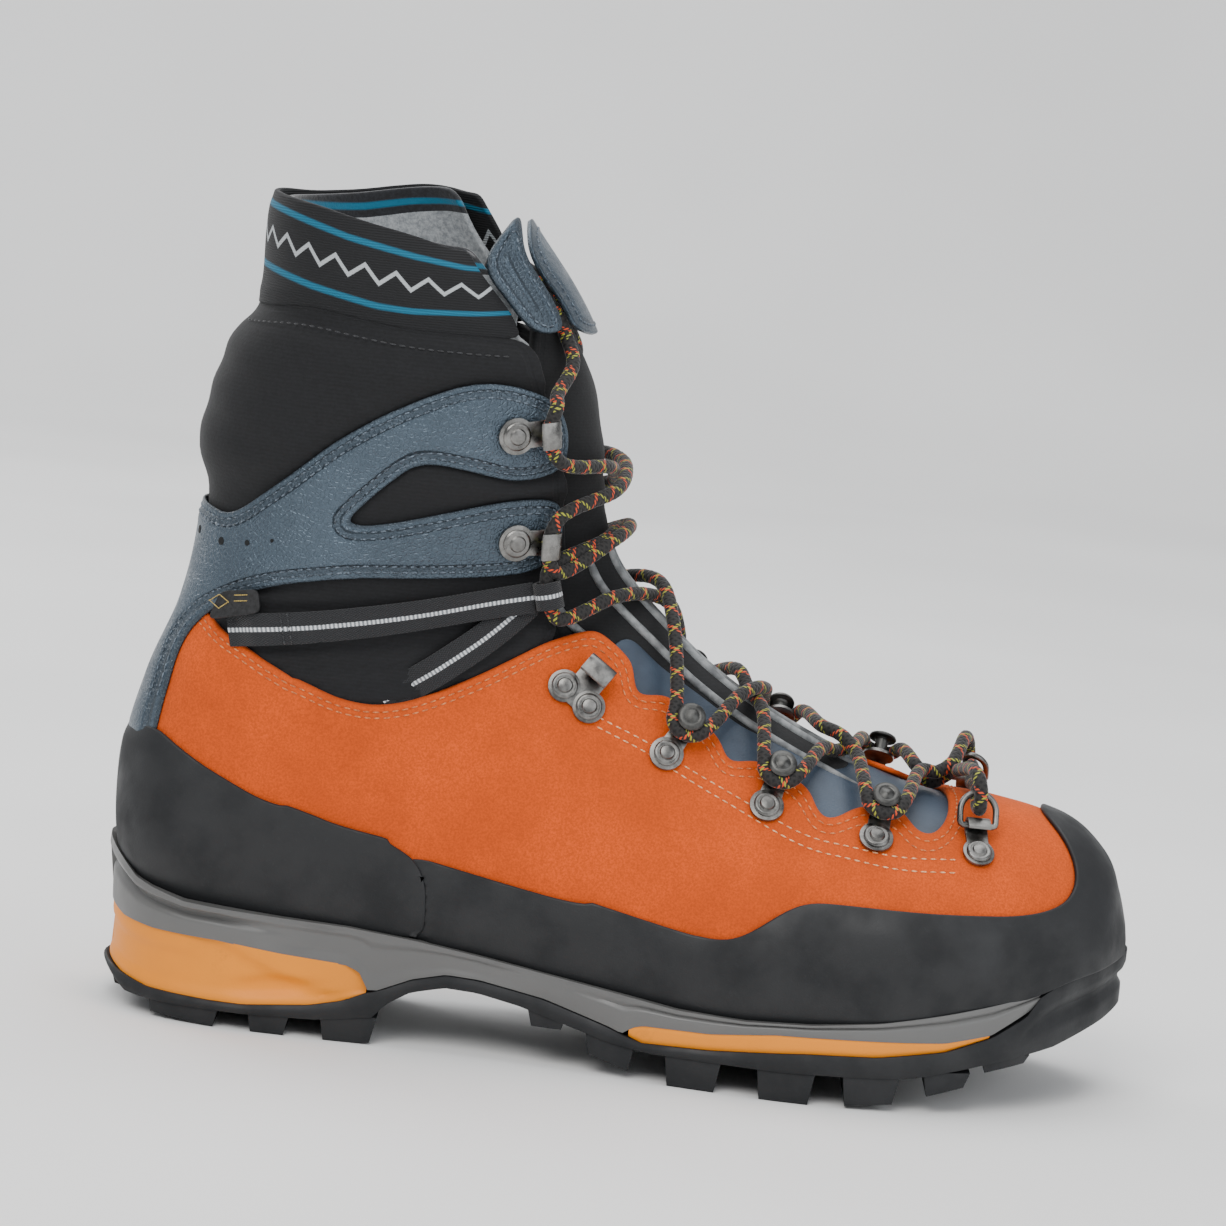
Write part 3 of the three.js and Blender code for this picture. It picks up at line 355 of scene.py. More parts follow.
def normals_out(mesh, *steps):
    """Turns a mesh's faces outward, after other steps of an edit."""
    edit = bmesh.new()
    edit.from_mesh(mesh)
    for step in steps:
        step(edit)
    bmesh.ops.recalc_face_normals(edit, faces=edit.faces)
    edit.to_mesh(mesh)
    edit.free()


def coordinates(mesh):
    flat = np.empty(len(mesh.vertices) * 3, np.float32)
    mesh.vertices.foreach_get("co", flat)
    return flat.reshape(-1, 3)


def apply_modifiers(obj):
    """Turns the object's live modifiers into plain mesh."""
    bpy.context.view_layer.update()
    evaluated = obj.evaluated_get(bpy.context.evaluated_depsgraph_get())
    mesh = bpy.data.meshes.new_from_object(evaluated)
    obj.modifiers.clear()
    obj.data = mesh
    return obj


SNAP_SHARE = 0.28  # part of a cell within which a corner moves onto the edge


class Panel:
    """Part of the last's surface inside a region, as cells cut to its edge in t and angle."""

    def __init__(self, region, offset, rows=300, columns=150, t_from=-1.0, t_to=float(COLLAR), clear=0.0,
                 smoothing=3):
        self.smoothing = smoothing
        low = min(t_from, 0)
        t = np.linspace(max(t_from, 0), t_to, rows + 1)
        if low < 0:
            t = np.concatenate([[-1, -0.75, -0.5, -0.25], t])
        angle = np.linspace(-math.pi, math.pi, columns + 1)
        self.t, self.angle = (g.copy() for g in np.meshgrid(t, angle, indexing="ij"))
        points = surface(self.t, self.angle, offset)
        self.value = region(points, self.t, self.angle) - clear
        self.value[:, -1] = self.value[:, 0]
        self.cut()

    def snap(self):
        """Moves corners that lie close to the edge onto it, so no sliver is left."""
        v, best = self.value, np.full(self.value.shape, SNAP_SHARE)
        t, a = self.t.copy(), self.angle.copy()
        on = np.zeros(v.shape, bool)
        for axis in (0, 1):
            for sign in (1, -1):
                other = np.roll(v, -sign, axis)
                to_t, to_a = np.roll(self.t, -sign, axis), np.roll(self.angle, -sign, axis)
                valid = np.ones(v.shape, bool)
                edge = [slice(None), slice(None)]
                edge[axis] = -1 if sign == 1 else 0
                valid[tuple(edge)] = False
                crossing = valid & ((v > 0) != (other > 0))
                share = np.where(crossing, v / np.where(v == other, 1, v - other), 1)
                closer = crossing & (share < best)
                best = np.where(closer, share, best)
                t = np.where(closer, self.t + share * (to_t - self.t), t)
                a = np.where(closer, self.angle + share * (to_a - self.angle), a)
                on |= closer
        on[:, -1] = on[:, 0] = on[:, 0] | on[:, -1]
        t[:, -1], a[:, -1] = t[:, 0], a[:, 0] + 2 * math.pi
        self.t, self.angle = t, a
        self.sign = np.where(on, 0, np.where(v > 0, 1, -1))

    def cut(self):
        self.snap()
        rows, columns = self.t.shape
        wide = columns - 1
        number = np.full((rows, columns), -1)
        keep = self.sign[:, :-1] >= 0
        used = np.zeros_like(keep)
        s = self.sign
        corners = np.stack([s[:-1, :-1], s[1:, :-1], s[1:, 1:], s[:-1, 1:]], -1)
        whole = (corners >= 0).all(-1) & (corners > 0).any(-1)
        mixed = (corners > 0).any(-1) & (corners < 0).any(-1)
        number[:, :-1] = np.where(keep, np.cumsum(keep).reshape(keep.shape) - 1, -1)
        number[:, -1] = number[:, 0]
        ts, angles = list(self.t[:, :-1][keep]), list(self.angle[:, :-1][keep])
        i, j = np.nonzero(whole)
        faces = [tuple(f) for f in np.stack([number[i, j], number[i + 1, j], number[i + 1, j + 1],
                                             number[i, j + 1]], -1)]
        crossings = {}
        for i, j in zip(*np.nonzero(mixed)):
            ring = [(i, j), (i + 1, j), (i + 1, j + 1), (i, j + 1)]
            face = []
            for k in range(4):
                p, q = ring[k], ring[(k + 1) % 4]
                if s[p] >= 0:
                    face.append(number[p])
                if s[p] * s[q] == -1:
                    key = tuple(sorted(((p[0], p[1] % wide), (q[0], q[1] % wide))))
                    if key not in crossings:
                        share = self.value[p] / (self.value[p] - self.value[q])
                        share = min(max(share, 0.05), 0.95)
                        crossings[key] = len(ts)
                        ts.append(self.t[p] + share * (self.t[q] - self.t[p]))
                        angles.append(self.angle[p] + share * (self.angle[q] - self.angle[p]))
                    face.append(crossings[key])
            if len(set(face)) > 2:
                faces.append(tuple(face))
        used = sorted({k for f in faces for k in f})
        renumber = {k: n for n, k in enumerate(used)}
        self.faces = [tuple(renumber[k] for k in f) for f in faces]
        self.ts, self.angles = np.array(ts)[used], np.array(angles)[used]
        self.loops = boundary_loops(self.faces)
        for loop in self.loops * self.smoothing:
            a = self.angles[loop]
            back, ahead = (np.angle(np.exp(1j * (np.roll(a, k) - a))) for k in (1, -1))
            self.angles[loop] = a + (back + ahead) / 4
            t = self.ts[loop]
            self.ts[loop] = t / 2 + (np.roll(t, 1) + np.roll(t, -1)) / 4


def boundary_loops(faces):
    follow = {}
    edges = set()
    for f in faces:
        for a, b in zip(f, f[1:] + f[:1]):
            edges.add((a, b))
    for a, b in edges:
        if (b, a) not in edges:
            follow.setdefault(a, []).append(b)
    loops = []
    while follow:
        start = next(iter(follow))
        loop, at = [start], follow[start].pop()
        if not follow[start]:
            del follow[start]
        while at != start and at in follow:
            loop.append(at)
            step = follow[at].pop()
            if not follow[at]:
                del follow[at]
            at = step
        if len(loop) > 2:
            loops.append(loop)
    return loops


def shell(panel, low, high, edge=0.8):
    """Closed wall over a panel's cells, its edge rolled over from the outer face to the inner one."""
    t, a = panel.ts, panel.angles
    top = surface(t, a, high(t, a) if callable(high) else high)
    base = surface(t, a, low(t, a) if callable(low) else low)
    normal = facing(t, a)
    points = [top, base]
    count = len(t)
    faces = list(panel.faces) + [tuple(k + count for k in reversed(f)) for f in panel.faces]
    start = 2 * count
    for loop in panel.loops:
        n = len(loop)
        ring = top[loop]
        tangent = unit(np.roll(ring, -1, 0) - np.roll(ring, 1, 0))
        side = unit(np.cross(tangent, normal[loop]))
        thick = np.linalg.norm(ring - base[loop], axis=-1, keepdims=True)
        before = list(loop)
        for turn in (30, 60, 90, None):
            if turn is None:
                new = ring + side * edge * 0.9 - normal[loop] * thick * 0.98
            else:
                new = ring + side * edge * math.sin(math.radians(turn))
                new = new - normal[loop] * np.minimum(edge, thick * 0.6) * (1 - math.cos(math.radians(turn)))
            points.append(new)
            after = list(range(start, start + n))
            start += n
            faces += [(before[k], after[k], after[(k + 1) % n], before[(k + 1) % n]) for k in range(n)]
            before = after
        after = [k + count for k in loop]
        faces += [(before[k], after[k], after[(k + 1) % n], before[(k + 1) % n]) for k in range(n)]
    return np.concatenate(points), faces


# ---- materials ----
def linear(colour):
    """A shader colour from a screen colour in 0 to 255."""
    return tuple(c / 12.92 if c <= 0.04045 else ((c + 0.055) / 1.055) ** 2.4 for c in (v / 255 for v in colour)) + (1.0,)


def toned(colour, factor, plus=0.0):
    """A shader colour made lighter or darker."""
    return tuple(min(1, c * factor + plus) for c in colour[:3]) + (1.0,)


def add_node(tree, kind, inputs=None, **settings):
    """A node with its settings made, and its inputs linked to a socket or given a value."""
    node = tree.nodes.new(kind)
    for key, value in settings.items():
        setattr(node, key, value)
    for key, value in (inputs or {}).items():
        if hasattr(value, "links"):
            tree.links.new(value, node.inputs[key])
        else:
            node.inputs[key].default_value = value
    return node


class Finish:
    """A procedural material, built node by node round one Principled shader."""

    def __init__(self, name, roughness=0.6, metallic=0.0, **sockets):
        self.material = bpy.data.materials.new(name)
        self.material.use_nodes = True
        self.tree = self.material.node_tree
        self.tree.nodes.clear()
        self.shader = self.tree.nodes.new("ShaderNodeBsdfPrincipled")
        out = self.tree.nodes.new("ShaderNodeOutputMaterial")
        self.tree.links.new(self.shader.outputs[0], out.inputs[0])
        self.shader.inputs["Roughness"].default_value = roughness
        self.shader.inputs["Metallic"].default_value = metallic
        for key, value in sockets.items():
            self.shader.inputs[key.replace("_", " ").title()].default_value = value
        self.place = self.tree.nodes.new("ShaderNodeTexCoord").outputs["Object"]
        self.last_bump = None

    def node(self, kind, inputs=None, **settings):
        return add_node(self.tree, kind, inputs, **settings)

    def math(self, operation, a, b=0.0, c=0.0):
        return self.node("ShaderNodeMath", {0: a, 1: b, 2: c}, operation=operation).outputs[0]

    def noise(self, scale, detail=3.0, stretch=None, rough=0.5):
        place = self.place
        if stretch:
            place = self.node("ShaderNodeMapping", {"Vector": place, "Scale": stretch}).outputs[0]
        node = self.node("ShaderNodeTexNoise",
                         {"Vector": place, "Scale": scale, "Detail": detail, "Roughness": rough})
        return node.outputs["Fac"]

    def cells(self, scale, feature="F1", randomness=1.0):
        return self.node("ShaderNodeTexVoronoi",
                         {"Vector": self.place, "Scale": scale, "Randomness": randomness},
                         feature=feature).outputs["Distance"]

    def attribute(self, name):
        return self.node("ShaderNodeAttribute", attribute_name=name).outputs["Fac"]

    def span(self, value, low, high, to_low=0.0, to_high=1.0, smooth=True):
        node = self.node("ShaderNodeMapRange", {0: value, 1: low, 2: high, 3: to_low, 4: to_high},
                         interpolation_type="SMOOTHSTEP" if smooth else "LINEAR")
        return node.outputs[0]

    def mix(self, share, a, b, strength=1.0):
        """Goes from colour a to colour b where share is 1, or part of the way."""
        if strength != 1:
            share = self.math("MULTIPLY", share, strength)
        a, b = (v if hasattr(v, "links") or len(v) == 4 else linear(v) for v in (a, b))
        return self.node("ShaderNodeMix", {0: share, 6: a, 7: b}, data_type="RGBA").outputs[2]

    def mottle(self, scale, detail, dark, light, low=0.3):
        """Two colours mixed by a soft noise."""
        return self.mix(self.span(self.noise(scale, detail), low, 0.7), dark, light)

    def colour(self, value):
        if hasattr(value, "links"):
            self.tree.links.new(value, self.shader.inputs["Base Color"])
        else:
            self.shader.inputs["Base Color"].default_value = linear(value)
        return self

    def rough(self, value):
        self.tree.links.new(value, self.shader.inputs["Roughness"])
        return self

    def bump(self, height, strength, distance):
        node = self.node("ShaderNodeBump", {"Height": height, "Strength": strength, "Distance": distance})
        if self.last_bump:
            self.tree.links.new(self.last_bump, node.inputs["Normal"])
        self.last_bump = node.outputs[0]
        self.tree.links.new(self.last_bump, self.shader.inputs["Normal"])
        return self


def near_line(f, value, at, half):
    """1 on a line of an attribute's value, 0 beyond half a width from it."""
    away = f.math("ABSOLUTE", f.math("SUBTRACT", value, at))
    return f.span(away, half * 0.4, half, 1.0, 0.0)


def suede_finish(props):
    f = Finish("suede", 0.92, sheen_weight=0.12, sheen_roughness=0.45)
    f.shader.inputs["Sheen Tint"].default_value = linear((250, 190, 140))
    f.shader.inputs["Specular IOR Level"].default_value = 0.25
    base = tuple(props.suede)
    blotch = f.span(f.noise(30, 5, rough=0.65), 0.3, 0.7)
    nap = f.span(f.noise(1500, 2, rough=0.7), 0.3, 0.7)
    tone = f.mix(blotch, toned(base, 0.84), toned(base, 1.22), 0.75)
    tone = f.mix(nap, tone, toned(base, 0.55), 0.6)
    edge = f.attribute("edge")
    f.colour(f.mix(f.span(edge, 0.0, 1.2, 1.0, 0.0), tone, toned(base, 0.45), 0.55))
    f.bump(f.noise(210, 5, rough=0.65), 0.35, 0.0006)
    f.bump(f.noise(1700, 2), 0.35, 0.00025)
    f.bump(near_line(f, edge, 3.0, 1.1), 0.6, -0.0006)
    return f.material


def rubber_finish(props):
    f = Finish("rubber", 0.62)
    base = tuple(props.rubber)
    worn = toned(base, 1.9, 0.006)
    dust = f.span(f.noise(34, 5, rough=0.7), 0.46, 0.75)
    tone = f.mix(dust, base, worn, 0.35)
    speck = f.span(f.noise(900, 2), 0.62, 0.75)
    f.colour(f.mix(speck, tone, worn, 0.3))
    f.rough(f.span(f.noise(60, 4), 0.3, 0.7, 0.5, 0.78))
    f.bump(f.noise(1400, 3), 0.25, 0.0002)
    f.bump(f.noise(45, 4), 0.25, 0.0008)
    return f.material


def sole_frame_finish(props):
    f = Finish("sole_frame", 0.38)
    base = tuple(props.sole_frame)
    tone = f.mottle(18, 3, toned(base, 0.86), base, 0.35)
    scratch = f.span(f.noise(90, 4, stretch=(0.3, 1, 2.4)), 0.6, 0.72)
    f.colour(f.mix(scratch, tone, toned(base, 0.5), 0.35))
    f.rough(f.span(f.noise(70, 4), 0.3, 0.7, 0.28, 0.5))
    f.bump(f.noise(1200, 2), 0.12, 0.00015)
    return f.material


def cushion_finish(props):
    f = Finish("cushion_foam", 0.55)
    base = tuple(props.cushion)
    tone = f.mottle(20, 4, toned(base, 0.86), base)
    grime = f.span(f.noise(55, 6, rough=0.75), 0.58, 0.78)
    f.colour(f.mix(grime, tone, toned(base, 0.45), 0.4))
    f.bump(f.cells(1500), 0.12, 0.0002)
    f.bump(f.noise(120, 3), 0.15, 0.0004)
    return f.material


def wrap_finish(props):
    f = Finish("coated_wrap", 0.4, 0.55, coat_weight=0.15, coat_roughness=0.35)
    base = tuple(props.wrap)
    edge = f.attribute("edge")
    tone = f.mottle(30, 4, toned(base, 0.8), base, 0.35)
    glint = f.span(f.cells(2600), 0.1, 0.35, 1.0, 0.0)
    tone = f.mix(glint, tone, toned(base, 2.0), 0.35)
    tone = f.mix(f.span(edge, 0, 0.9, 1.0, 0.0), tone, toned(base, 0.4), 0.7)
    # painted shade: the colour is darkened along the stitch channel 3 mm in from the edge, in the groove that
    # the bump below sinks
    tone = f.mix(near_line(f, edge, 3.0, 1.8), tone, toned(base, 0.45), 0.45)
    f.colour(tone)
    f.rough(f.span(f.noise(160, 4), 0.3, 0.7, 0.32, 0.5))
    f.bump(f.span(f.cells(760, "DISTANCE_TO_EDGE"), 0.0, 0.25), 0.55, 0.0004)
    f.bump(f.noise(300, 4), 0.4, 0.0006)
    f.bump(near_line(f, edge, 3.0, 1.5), 0.9, -0.001)
    return f.material


def underlay_finish():
    f = Finish("underlay_film", 0.45, 0.1)
    f.colour(f.mottle(60, 3, (38, 50, 64), (60, 74, 90)))
    f.bump(f.cells(900, "DISTANCE_TO_EDGE"), 0.25, 0.0003)
    return f.material


def knit_finish(name, dark, light, scale=1.0):
    """Fine stretch cloth: short ribs along the cell rows of a panel, with a soft nap."""
    f = Finish(name, 0.88, sheen_weight=0.04, sheen_roughness=0.5)
    weave = f.node("ShaderNodeTexWave",
                   {"Vector": f.place, "Scale": 260 * scale, "Distortion": 3.0, "Detail": 2.0,
                                         "Detail Scale": 2.0}, bands_direction="Z").outputs["Fac"]
    grain = f.noise(900 * scale, 3, rough=0.65)
    share = f.math("ADD", f.math("MULTIPLY", weave, 0.16), f.math("MULTIPLY", grain, 0.84))
    tone = f.mix(f.span(share, 0.3, 0.75), dark, light)
    f.colour(f.mix(f.span(f.noise(24, 4), 0.4, 0.7), tone, light, 0.3))
    f.bump(share, 0.35, 0.0003)
    f.bump(f.noise(80, 4, stretch=(1, 1, 2.2)), 0.3, 0.0012)
    f.bump(near_line(f, f.attribute("edge"), 2.4, 1.0), 0.5, -0.0005)
    return f.material


def collar_finish(props):
    """Ribbed elastic of the collar with two coloured lines and a plain zigzag between them."""
    f = Finish("collar_elastic", 0.85, sheen_weight=0.03)
    across, along = f.attribute("across"), f.attribute("along")
    rib = f.node("ShaderNodeTexWave", {"Vector": f.place, "Scale": 420.0, "Distortion": 0.6, "Detail": 1.0},
                 bands_direction="Z").outputs["Fac"]
    tone = f.mix(f.span(f.math("ADD", f.math("MULTIPLY", rib, 0.5),
                               f.math("MULTIPLY", f.noise(1200, 2), 0.5)), 0.3, 0.75),
                 (3, 4, 6), (15, 16, 20))
    lines = f.math("MAXIMUM", near_line(f, across, 1.0, 0.075), near_line(f, across, 0.0, 0.075))
    stripe = f.mix(f.span(rib, 0.2, 0.8), toned(props.stripe, 0.7), tuple(props.stripe))
    tone = f.mix(lines, tone, stripe)
    tooth = f.math("PINGPONG", along, 5.0)
    zigzag = f.math("ABSOLUTE",
                    f.math("SUBTRACT", f.math("SUBTRACT", across, 0.38), f.math("MULTIPLY", tooth, 0.05)))
    band = f.span(zigzag, 0.035, 0.055, 1.0, 0.0)
    f.colour(f.mix(band, tone, (176, 181, 184), 0.9))
    f.bump(rib, 0.4, 0.0003)
    f.bump(f.math("MAXIMUM", lines, band), 0.4, 0.0003)
    return f.material


def lining_finish(props):
    """Light brushed lining, with the black cuff and its coloured line near the mouth."""
    f = Finish("brushed_lining", 0.95, sheen_weight=0.4, sheen_roughness=0.5)
    across = f.attribute("across")
    fuzz = f.noise(700, 4, rough=0.7)
    tone = f.mix(f.span(fuzz, 0.3, 0.7), (128, 133, 137), (176, 180, 183))
    cuff = f.span(across, 0.86, 0.87, 0.0, 1.0)
    tone = f.mix(cuff, tone, f.mix(f.span(fuzz, 0.3, 0.7), (17, 18, 21), (36, 38, 43)))
    tone = f.mix(near_line(f, across, 1.05, 0.08), tone, tuple(props.stripe))
    f.colour(tone)
    f.bump(fuzz, 0.5, 0.0006)
    f.bump(f.noise(120, 3), 0.3, 0.001)
    return f.material


def steel_finish(name="nickel_steel", tone=(150, 149, 146), rough=0.32):
    f = Finish(name, rough, 1.0)
    f.colour(f.mix(f.span(f.noise(130, 5, rough=0.7), 0.35, 0.7), tuple(c * 0.66 for c in tone), tone))
    f.rough(f.span(f.noise(260, 5), 0.3, 0.7, rough * 0.8, rough * 1.5))
    f.bump(f.noise(420, 4), 0.12, 0.0003)
    return f.material


def webbing_finish():
    f = Finish("woven_webbing", 0.82, sheen_weight=0.15)
    uv = f.node("ShaderNodeUVMap", uv_map="run").outputs[0]
    split = f.node("ShaderNodeSeparateXYZ", {0: uv})
    rib = f.math("SINE", f.math("MULTIPLY", split.outputs[0], 5.2))
    pick = f.math("SINE", f.math("MULTIPLY", split.outputs[1], 9.0))
    weave = f.math("MULTIPLY", rib, pick)
    tone = f.mix(f.span(weave, -0.8, 0.8), (8, 9, 10), (32, 34, 38))
    centre = f.span(f.math("ABSOLUTE", split.outputs[1]), 0.5, 0.75, 1.0, 0.0)
    silver = f.mix(f.span(rib, -0.7, 0.7), (120, 124, 128), (214, 217, 220))
    f.colour(f.mix(centre, tone, silver))
    f.bump(weave, 0.5, 0.0003)
    return f.material


def lace_finish(props):
    """Round braid: dark yarn with two bright tracer yarns that cross over it."""
    f = Finish("braided_lace", 0.8, sheen_weight=0.2, sheen_roughness=0.4)
    uv = f.node("ShaderNodeUVMap", uv_map="run").outputs[0]
    split = f.node("ShaderNodeSeparateXYZ", {0: uv})
    along, around = split.outputs[0], split.outputs[1]
    right = f.math("ADD", f.math("MULTIPLY", along, 0.55), f.math("MULTIPLY", around, 5.0))
    left = f.math("SUBTRACT", f.math("MULTIPLY", along, 0.55), f.math("MULTIPLY", around, 5.0))
    over = f.math("GREATER_THAN", f.math("FRACT", f.math("ADD", right, left)), 0.5)
    strand_r = f.math("ABSOLUTE", f.math("SINE", f.math("MULTIPLY", right, math.pi)))
    strand_l = f.math("ABSOLUTE", f.math("SINE", f.math("MULTIPLY", left, math.pi)))
    relief = f.math("MAXIMUM", strand_r, strand_l)
    tone = f.mix(f.span(relief, 0.5, 1.0), (6, 6, 7), (32, 30, 29))
    red = f.math("MULTIPLY", f.math("LESS_THAN", f.math("FRACT", f.math("MULTIPLY", right, 0.25)), 0.25),
                 over)
    lime = f.math("MULTIPLY", f.math("LESS_THAN", f.math("FRACT", f.math("MULTIPLY", left, 0.25)), 0.25),
                  f.math("SUBTRACT", 1.0, over))
    yarn = f.span(strand_r, 0.45, 0.7)
    tone = f.mix(f.math("MULTIPLY", red, yarn), tone, tuple(props.tracer_warm))
    tone = f.mix(f.math("MULTIPLY", lime, f.span(strand_l, 0.45, 0.7)), tone, tuple(props.tracer_lime))
    f.colour(tone)
    f.bump(relief, 0.5, 0.0004)
    return f.material


def thread_finish(name, dark, light):
    f = Finish(name, 0.7, sheen_weight=0.2)
    f.colour(f.mottle(1500, 2, dark, light))
    f.bump(f.noise(2600, 2), 0.4, 0.0001)
    return f.material


def plain_finish(name, dark, light, roughness, scale=200, strength=0.25, distance=0.0004):
    f = Finish(name, roughness)
    f.colour(f.mottle(scale, 4, dark, light))
    f.bump(f.noise(scale * 3, 4), strength, distance)
    return f.material


MATERIALS = {}


def build_materials(props):
    MATERIALS.update(
        suede=suede_finish(props), rubber=rubber_finish(props), sole_frame=sole_frame_finish(props),
        cushion=cushion_finish(props), wrap=wrap_finish(props), underlay=underlay_finish(),
        softshell=knit_finish("softshell", (3, 4, 6), (15, 16, 20)),
        tongue=knit_finish("tongue_cloth", (4, 5, 6), (16, 17, 20), 1.3),
        tongue_rib=plain_finish("tongue_rib", (92, 95, 97), (142, 145, 146), 0.55, 300),
        collar=collar_finish(props), lining=lining_finish(props), steel=steel_finish(),
        dark_steel=steel_finish("gunmetal", (104, 104, 102), 0.4), webbing=webbing_finish(),
        lace=lace_finish(props), plastic=plain_finish("lace_tip_film", (12, 12, 13), (30, 30, 32), 0.35),
        board=plain_finish("pressed_board", (150, 132, 100), (188, 172, 138), 0.85, 90),
        footbed=plain_finish("footbed_felt", (52, 55, 58), (86, 90, 93), 0.95, 600, 0.5, 0.0008),
        suede_thread=thread_finish("suede_thread", (166, 84, 34), (226, 140, 80)),
        eyestay_thread=thread_finish("eyestay_thread", (200, 128, 74), (244, 190, 140)),
        wrap_thread=thread_finish("wrap_thread", (34, 44, 54), (104, 118, 132)),
        dark_thread=thread_finish("dark_thread", (12, 12, 13), (44, 46, 50)),
        pale_thread=thread_finish("pale_thread", (150, 154, 158), (205, 208, 210)),
        hollow=plain_finish("perforation_dark", (6, 7, 8), (16, 18, 20), 0.9),
        tag=plain_finish("tag_weave", (10, 10, 11), (34, 34, 36), 0.7, 900),
        tag_mark=thread_finish("tag_mark", (150, 126, 60), (196, 170, 92)),
    )


# ---- repeats along a path ----
def attribute_on(mesh, name, values, kind="FLOAT"):
    layer = mesh.attributes.new(name, kind, "POINT")
    field = "vector" if kind == "FLOAT_VECTOR" else "value"
    layer.data.foreach_set(field, np.asarray(values, np.float32).ravel())


def tree_start(title, sockets):
    """A geometry tree with named inputs, given with their kind and value, and a way to add its nodes."""
    tree = bpy.data.node_groups.new(title, "GeometryNodeTree")
    for label, kind, value in (("Geometry", "Geometry", None), *sockets):
        socket = tree.interface.new_socket(label, in_out="INPUT", socket_type=f"NodeSocket{kind}")
        if value is not None:
            socket.default_value = value
    tree.interface.new_socket("Geometry", in_out="OUTPUT", socket_type="NodeSocketGeometry")

    def add(kind, inputs=None, **settings):
        return add_node(tree, kind, inputs, **settings)

    return tree, add, add("NodeGroupInput").outputs


def tree_end(tree, add, geometry, material):
    dress = add("GeometryNodeSetMaterial", {"Geometry": geometry, "Material": material})
    add("NodeGroupOutput", {0: dress.outputs[0]})
    return tree


def instances(add, points, shape, rotation, scale):
    """Copies of a shape on points, made real."""
    put = add("GeometryNodeInstanceOnPoints",
              {"Points": points, "Instance": shape, "Rotation": rotation.outputs[0],
               "Scale": scale.outputs[0]})
    return add("GeometryNodeRealizeInstances", {0: put.outputs[0]}).outputs[0]


def stitch_tree():
    """Capsules along a path's edges, turned to its run and to the surface under it."""
    tree, add, given = tree_start("Stitch run", (("Pitch", "Float", 0.003), ("Length", "Float", 0.0022),
                                                 ("Thickness", "Float", 0.0006),
                                                 ("Thread", "Material", None)))
    curve = add("GeometryNodeMeshToCurve", {0: given["Geometry"]})
    spots = add("GeometryNodeResampleCurve", {"Curve": curve.outputs[0], "Length": given["Pitch"]},
                mode="LENGTH")
    ball = add("GeometryNodeMeshUVSphere", {"Segments": 6, "Rings": 4, "Radius": 0.5})
    size = add("ShaderNodeCombineXYZ", {0: given["Length"], 1: given["Thickness"], 2: given["Thickness"]})
    lift = add("GeometryNodeInputNamedAttribute", {"Name": "lift"}, data_type="FLOAT_VECTOR")
    along = add("FunctionNodeAlignRotationToVector", {"Vector": add("GeometryNodeInputTangent").outputs[0]},
                axis="X")
    stand = add("FunctionNodeAlignRotationToVector",
                {"Rotation": along.outputs[0], "Vector": lift.outputs[0]},
                axis="Z", pivot_axis="X")
    real = instances(add, spots.outputs[0], ball.outputs["Mesh"], stand, size)
    smooth = add("GeometryNodeSetShadeSmooth", {0: real})
    return tree_end(tree, add, smooth.outputs[0], given["Thread"])


def grown(obj, tree, values, material):
    """The object turned into what a tree makes of it, the tree's inputs set by name."""
    modifier = obj.modifiers.new(tree.name, "NODES")
    modifier.node_group = tree
    for item in tree.interface.items_tree:
        if item.in_out == "INPUT" and item.name in values:
            modifier[item.identifier] = values[item.name]
    apply_modifiers(obj)
    if not obj.data.materials:
        obj.data.materials.append(material)
    return obj


def run_tree(name, points, normals, tree, values, material_name, body=BOOT):
    """Instances of a tree along polylines: points and normals are lists of arrays in millimetres."""
    verts, edges, lifts = [], [], []
    for line, normal in zip(points, normals):
        start = len(verts)
        verts += [tuple(p) for p in np.asarray(line) * MM]
        lifts += [tuple(v) for v in normal]
        edges += [(start + k, start + k + 1) for k in range(len(line) - 1)]
    mesh = bpy.data.meshes.new(name)
    mesh.from_pydata(verts, edges, [])
    attribute_on(mesh, "lift", lifts, "FLOAT_VECTOR")
    return settle(grown(linked(name, mesh), tree, values, MATERIALS[material_name]), body)


def split_runs(points, keep, closed=True):
    """The stretches of a polyline where keep holds."""
    n = len(points)
    if keep.all():
        return [list(range(n)) + ([0] if closed else [])]
    runs, run = [], []
    first = int(np.argmin(keep)) if closed else 0
    for k in range(n + (1 if closed else 0)):
        i = (first + k) % n
        if keep[i] and k < n:
            run.append(i)
        elif run:
            if len(run) > 2:
                runs.append(run)
            run = []
    if len(run) > 2:
        runs.append(run)
    return runs


def smooth_line(points, rounds=2):
    points = np.array(points, float)
    for _ in range(rounds):
        points[1:-1] = points[1:-1] * 0.5 + (points[:-2] + points[2:]) * 0.25
    return points


def seam_lines(region, offset, levels, keep, lift, **grid):
    """Lines at fixed distances inside a region's edge, on the surface, where keep(points) holds."""
    lines, normals = [], []
    for level in levels:
        panel = Panel(region, offset, clear=level, **grid)
        for loop in panel.loops:
            t, a = panel.ts[loop], panel.angles[loop]
            points = surface(t, a, (lift(t, a) if callable(lift) else lift))
            for run in split_runs(points, keep(points)):
                line = smooth_line(points[run])
                if run_along(line)[-1] > SHORTEST_SEAM:
                    lines.append(line)
                    normals.append(facing(t, a)[run])
    return lines, normals


TREES = {}


def in_mm(size):
    """One of the boot's sizes in millimetres."""
    return round(getattr(bpy.context.scene.boot_settings, size) / MM, 4)


def suede_stitches(name, lines, normals, thread):
    sizes = (in_mm(size) for size in ("stitch_pitch", "stitch_length", "thread"))
    return stitches(name, lines, normals, thread, "suede", *sizes)


def stitches(name, lines, normals, thread, slot, pitch=3.0, length=2.3, thick=0.62, body=BOOT):
    if "stitch" not in TREES:
        TREES["stitch"] = stitch_tree()
    values = {"Pitch": pitch * MM, "Length": length * MM, "Thickness": thick * MM,
              "Thread": MATERIALS[thread]}
    return run_tree(name, lines, normals, TREES["stitch"], values, thread, body)


